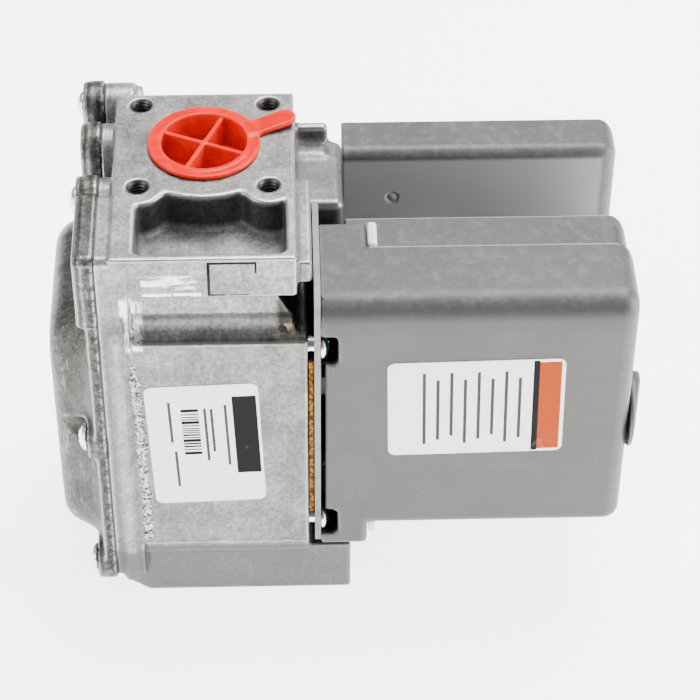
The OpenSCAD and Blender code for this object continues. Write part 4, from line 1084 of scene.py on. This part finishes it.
class GASVALVE_OT_housing(Operator):
    """Build the plastic housing"""

    bl_idname = "gasvalve.housing"
    bl_label = "Housing"

    def execute(self, context):
        sizes, colours = context.scene.gas_valve_sizes, context.scene.gas_valve_colours
        x0, x1, y0, even = house_low[0], house_high[0], house_low[1], EVEN
        lobe, strip, rear, back = LOBE_TOP, STRIP_TOP, REAR_FRONT, FRONT + 17.6
        # Here pale gives the painted highlights, dim and ink the painted shade, lit the painted light
        pale, dim, ink = (0.34, 0.345, 0.335), (0.034, 0.034, 0.032), (0.004, 0.004, 0.004)
        lit = (0.33, 0.33, 0.32)
        marks = [
            # Painted shade along the front corner, painted light on the rear lobe's front, painted highlights along the
            # rear edges, painted shade in the notches
            ((x0 - 1, y0 - 1, lobe - 6.0), (x1 + 1, y0 + 3.4, lobe - 2.0), 2.2, even, None, dim, 0.5),
            ((x0 - 1, rear - 0.4, 51), (x1 - 3.6, rear + 0.8, lobe - 2.2), 0.9, even, None, lit, 0.84),
            ((x0 + 10, back - 0.4, lobe - 0.3), (x1 - 3, back + 0.1, lobe + 0.3), 0.15, even, None, pale,
             0.9),
            ((x0, rear - 15.4, strip - 0.3), (x1 - 3, rear - 14.9, strip + 0.3), 0.15, even, None, pale, 0.9),
            ((x0 - 1, y0 + 0.35, TOP - 27.75), (x0 + 3.55, y0 + 8, TOP - 20.25), 0.12, even, None, ink, 1.0),
            ((x0 - 1, y0 + 0.35, 18.65), (x0 + 3.55, y0 + 8, 26.15), 0.12, even, None, ink, 1.0),
        ]
        skin = plastic_material("grey_housing", tuple(colours.housing), 0.46, 2400.0, 0.35, marks)
        piece = make_solid("housing_shell", housing_field(sizes.housing_edge, sizes.housing_wall), house_low,
                           house_high, sizes.housing_cell, VALVE, skin)
        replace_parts(piece, "housing")
        # Painted shade: black sheets behind the two notches
        boxes = [((x0 + 0.3, y0 + 6.3, z - 13.0), (x0 + 9.0, y0 + 6.9, z + 5.5)) for z in (TOP - 24.0, 31.0)]
        spots, sides = boxes_mesh(boxes)
        black = film_material("notch_black", ink, 0.7, 0.1)
        make_mesh("notch_shades", spots, sides, VALVE, black, smooth=False)
        return {"FINISHED"}


class GASVALVE_OT_controls(Operator):
    """Build the on/off knob and the housing clips"""

    bl_idname = "gasvalve.controls"
    bl_label = "Knob and clips"

    def execute(self, context):
        cell = context.scene.gas_valve_sizes.fine_cell
        y, z = (knob_low[1] + knob_high[1]) / 2, (knob_low[2] + knob_high[2]) / 2
        face = house_high[0] + 0.3
        radius = (knob_high[1] - knob_low[1]) / 2

        def knob(p):
            shape = bar(p, 0, (y, z), radius, face, knob_high[0] - 1.5, 0.35)
            shape = join(shape, bar(p, 0, (y, z), 2.5, knob_low[0], face + 0.3, 0.2), 0.2)
            reach = radius - 0.3
            grip = rounded_box(p, (face, y - 1.6, z - reach), (knob_high[0], y + 1.6, z + reach), 0.7)
            return join(shape, grip, 0.6)

        dark = plastic_material("knob_plastic", (0.045, 0.046, 0.05), 0.42)
        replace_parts(make_solid("on_off_knob_moulding", knob, knob_low, knob_high, cell, "knob", dark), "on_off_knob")
        low, high = box_mm("housing_clips")
        x = low[0]

        def clips(p):
            upper = rounded_box(p, (x, -16.4, high[2] - 4.4), (x + 1.9, -9.5, high[2]), 0.7)
            slot = rounded_box(p, (x + 0.6, -20, high[2] - 6), (x + 1.3, 0, high[2] - 1.4), 0.2)
            lower = rounded_box(p, (x + 0.3, FRONT + 0.7, low[2]), (x + 1.7, FRONT + 5.7, 21.3), 0.4)
            return np.minimum(cut(upper, slot), lower)

        white = plastic_material("white_clip", (0.72, 0.72, 0.70), 0.3, 1200.0, 0.08,
                                 **{"Subsurface Weight": 0.2, "Subsurface Scale": 0.001})
        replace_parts(make_solid("housing_clips_moulding", clips, low, high, cell * 0.7, VALVE, white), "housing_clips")
        return {"FINISHED"}


class GASVALVE_OT_labels(Operator):
    """Build the two labels, bare apart from plain bands and rules"""

    bl_idname = "gasvalve.labels"
    bl_label = "Labels"

    def sticker(self, name, node, material, prints):
        """Flat label made again from its node's outline, with thin raised print on it."""
        cad = frame["nodes"][node]
        points = np.empty(len(cad.data.vertices) * 3, np.float32)
        cad.data.vertices.foreach_get("co", points)
        points = points.reshape(-1, 3) / MM
        front = points[:, 1].min()
        edge = points[abs(points[:, 1] - front) < 0.02][:, [0, 2]]
        middle = edge.mean(0)
        angle = np.arctan2(edge[:, 1] - middle[1], edge[:, 0] - middle[0])
        edge = edge[np.argsort(angle)]
        edge = edge[np.linalg.norm(edge - np.roll(edge, 1, 0), axis=1) > 1e-3]
        rings = [(0.14, 1.0), (0.03, 1.0), (0.0, 0.995), (0.0, 0.5)]
        layers = [np.column_stack([middle[0] + (edge[:, 0] - middle[0]) * s, np.full(len(edge), front + dy),
                                   middle[1] + (edge[:, 1] - middle[1]) * s]) for dy, s in rings]
        grid = np.concatenate(layers)
        count = len(edge)
        sides = grid_faces(len(layers), count, wrap_columns=True)[:, ::-1]
        ends = [(len(grid) - count) * np.array([1, 1, 1]) + (0, k + 1, k) for k in range(1, count - 1)]
        ends += [np.array([0, k, k + 1]) for k in range(1, count - 1)]
        faces = np.concatenate([sides[:, [0, 1, 2]], sides[:, [0, 2, 3]], np.array(ends)])
        piece = make_mesh(name, grid, faces, VALVE, material, smooth=False)
        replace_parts(piece, node)
        tilt = 2.2 if node == "rating_label" else 1.2
        for part, ink, bars in prints:
            boxes = [((x0, 0, z0), (x1, 0.03, z1)) for x0, z0, x1, z1 in bars]
            spots, sides = boxes_mesh(boxes)
            c, s = math.cos(math.radians(tilt)), math.sin(math.radians(tilt))
            spots = np.column_stack([middle[0] + spots[:, 0] * c - spots[:, 2] * s,
                                     front - 0.012 + spots[:, 1],
                                     middle[1] + spots[:, 0] * s + spots[:, 2] * c])
            make_mesh(part, spots, sides, VALVE, ink, smooth=False)

    def execute(self, context):
        white = film_material("label_film", (0.90, 0.90, 0.89), 0.45, 0.02)
        black = film_material("label_black", (0.005, 0.005, 0.006), 0.6, 0.1)
        grey = film_material("label_rule", (0.05, 0.05, 0.055), 0.5, 0.1)
        band = film_material("label_band", tuple(context.scene.gas_valve_colours.band), 0.35, 0.05)
        draw = np.random.default_rng(5)
        stripes, z = [], -2.6
        while z < 10.2:
            w = draw.choice([0.3, 0.45, 0.8])
            stripes.append((-4.4, z, -0.9, z + w))
            z += w + draw.choice([0.25, 0.35, 0.5])
        rules = [(x, z0, x + 0.55, z1) for x, z0, z1 in
                 ((4.2, -6, 11), (1.4, -2, 10), (0.1, -4.5, 10.2), (-6.9, 1, 12.2), (-6.4, -11.6, -1.5))]
        self.sticker("rating_label_film", "rating_label", white, [
            ("rating_print_band", black, [(5.9, -8.4, 10.7, 13.2)]),
            ("rating_print_stripes", black, stripes),
            ("rating_print_rules", grey, rules)])
        lines = [(-10.6 + i * 2.7, -9.8 + (i % 3) * 1.1, -9.95 + i * 2.7, 9.8 - (i % 2) * 1.9)
                 for i in range(8)]
        self.sticker("notice_label_film", "notice_label", white, [
            ("notice_print_band", band, [(12.4, -12.0, 16.75, 12.0)]),
            ("notice_print_divider", black, [(11.2, -12.4, 12.4, 12.4)]),
            ("notice_print_rules", grey, lines)])
        return {"FINISHED"}


class GASVALVE_OT_finishes(Operator):
    """Give every frame node its slot's finish, made here unless a built piece has it already"""

    bl_idname = "gasvalve.finishes"
    bl_label = "Finishes of the other parts"

    def execute(self, context):
        makers = {
            "rubber_black": (plastic_material, (0.022, 0.022, 0.024), 0.62, 1800.0, 0.3),
            "component_blue": (plastic_material, (0.03, 0.09, 0.22), 0.3, 1500.0, 0.1),
            "turned_aluminium": (metal_material, (0.72, 0.73, 0.74), 0.28, (4, 1, 1)),
            "spring_steel": (metal_material, (0.62, 0.63, 0.64), 0.26),
            "steel_plate": (metal_material, (0.17, 0.17, 0.165), 0.42, (1, 1, 0.2), 0.6, 0.3),
            "brass_part": (metal_material, (0.70, 0.50, 0.20), 0.30, (1, 4, 1), 0.4),
            "cast_zinc": (metal_material, (0.58, 0.59, 0.60), 0.36, (5, 1, 1), 0.4, 0.3),
            "label_white": (film_material, (0.8, 0.8, 0.79)),
            "board_green": (board_material,),
            "copper_winding": (winding_material,),
        }
        for part in frame["record"]["subparts"]:
            slot = part["material_slot"]
            if slot not in MADE:
                make, *look = makers[slot]
                make(slot, *look)
            node = frame["nodes"][part["node"]]
            node.data.materials.clear()
            node.data.materials.append(MADE[slot])
        return {"FINISHED"}


class GASVALVE_OT_stage(Operator):
    """Build the pale floor, the soft lights and the camera"""

    bl_idname = "gasvalve.stage"
    bl_label = "Stage"

    def area(self, context, name, place, target, size, power):
        """Soft square light that looks at a target."""
        lamp = bpy.data.lights.new(name, "AREA")
        lamp.shape, lamp.size, lamp.energy = "SQUARE", size, power
        thing = bpy.data.objects.new(name, lamp)
        thing.location = place
        thing.rotation_euler = (Vector(target) - Vector(place)).to_track_quat("-Z", "Y").to_euler()
        context.scene.collection.objects.link(thing)

    def execute(self, context):
        scene = context.scene
        material, tree, coords = start_material("pale_floor", **{
            "Roughness": 0.8, "Emission Color": (1, 1, 1, 1), "Emission Strength": 3.8})
        cloud = noise(tree, coords, 14.0, 5.0, 0.55)
        end_material(material, {
            "Base Color": blend_colour(tree, cloud, (0.88, 0.88, 0.87, 1), (0.96, 0.96, 0.95, 1))})
        mesh = bpy.data.meshes.new("floor")
        half = 3.0
        mesh.from_pydata([(-half, -half, 0), (half, -half, 0), (half, half, 0), (-half, half, 0)], [],
                         [(0, 1, 2, 3)])
        mesh.materials.append(material)
        floor = bpy.data.objects.new("floor", mesh)
        scene.collection.objects.link(floor)
        world = bpy.data.worlds.new("studio")
        world.use_nodes = True
        # Even sky with a darker round patch in the direction from which the object is seen
        tree = world.node_tree
        way = add(tree, "ShaderNodeTexCoord").outputs["Generated"]
        away = add(tree, "ShaderNodeVectorMath", {0: way, 1: (-0.03, -0.73, 0.69)}, operation="DOT_PRODUCT")
        patch = ramp(tree, away.outputs["Value"], 0.6, 0.97)
        sky = blend_colour(tree, patch, (1, 1, 1, 1), (0.25, 0.25, 0.26, 1))
        tree.links.new(sky, tree.nodes["Background"].inputs[0])
        tree.nodes["Background"].inputs[1].default_value = 0.8
        scene.world = world
        low, high = CAD_BOX
        target = ((low[0] + high[0]) / 2, (low[1] + high[1]) / 2, high[2] * 0.5)
        for name, place, size, power in LAMPS:
            self.area(context, name, place, target, size, power)
        camera = bpy.data.cameras.new("camera")
        camera.sensor_width, camera.lens = SENSOR_MM, LENS_MM
        camera.shift_x, camera.shift_y = CAMERA_SHIFT
        camera.clip_start, camera.clip_end = 0.01, 20.0
        view = bpy.data.objects.new("camera", camera)
        turn = Vector(CAMERA_WAY).to_track_quat("-Z", "Y").to_matrix().to_4x4()
        roll = Matrix.Rotation(math.radians(CAMERA_ROLL), 4, "Z")
        view.matrix_world = Matrix.Translation(Vector(CAMERA_AT)) @ turn @ roll
        scene.collection.objects.link(view)
        scene.camera = view
        return {"FINISHED"}


# Where the camera stands, which way it looks, its roll in degrees and its lens
CAMERA_AT = (0.01506, -0.39541, 0.41305)
CAMERA_WAY = (0.02779, 0.7267, -0.6865)
CAMERA_ROLL = 0.61
CAMERA_SHIFT = (-0.0071, -0.0040)
SENSOR_MM, LENS_MM = 36.0, 131.9
# Name, place in metres, size in metres and watts of each lamp
LAMPS = (("key", (0.15, 0.25, 0.75), 0.5, 14.0), ("fill", (-0.6, -0.35, 0.35), 0.4, 3.0),
         ("rim", (0.6, -0.1, 0.2), 0.3, 6.0))


class GASVALVE_PT_panel(Panel):
    """Lists the pieces in the sidebar of the 3D view"""

    bl_label = "Gas Valve"
    bl_idname = "GASVALVE_PT_panel"
    bl_space_type = "VIEW_3D"
    bl_region_type = "UI"
    bl_category = "Gas Valve"

    def draw(self, context):
        for settings in (context.scene.gas_valve_sizes, context.scene.gas_valve_colours):
            for key in settings.__annotations__:
                self.layout.prop(settings, key)
        for operator in OPERATORS:
            self.layout.operator(operator.bl_idname)


OPERATORS = (GASVALVE_OT_stage, GASVALVE_OT_body, GASVALVE_OT_cover, GASVALVE_OT_screws, GASVALVE_OT_plug,
             GASVALVE_OT_gasket, GASVALVE_OT_housing, GASVALVE_OT_controls, GASVALVE_OT_labels,
             GASVALVE_OT_finishes)
CLASSES = (GasValveSizes, GasValveColours, *OPERATORS, GASVALVE_PT_panel)


def register():
    for cls in CLASSES:
        bpy.utils.register_class(cls)
    bpy.types.Scene.gas_valve_sizes = PointerProperty(type=GasValveSizes)
    bpy.types.Scene.gas_valve_colours = PointerProperty(type=GasValveColours)


def unregister():
    del bpy.types.Scene.gas_valve_colours
    del bpy.types.Scene.gas_valve_sizes
    for cls in reversed(CLASSES):
        bpy.utils.unregister_class(cls)


def main():
    register()
    for operator in OPERATORS:
        group, name = operator.bl_idname.split(".")
        getattr(getattr(bpy.ops, group), name)()
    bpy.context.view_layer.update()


if __name__ == "__main__":
    main()
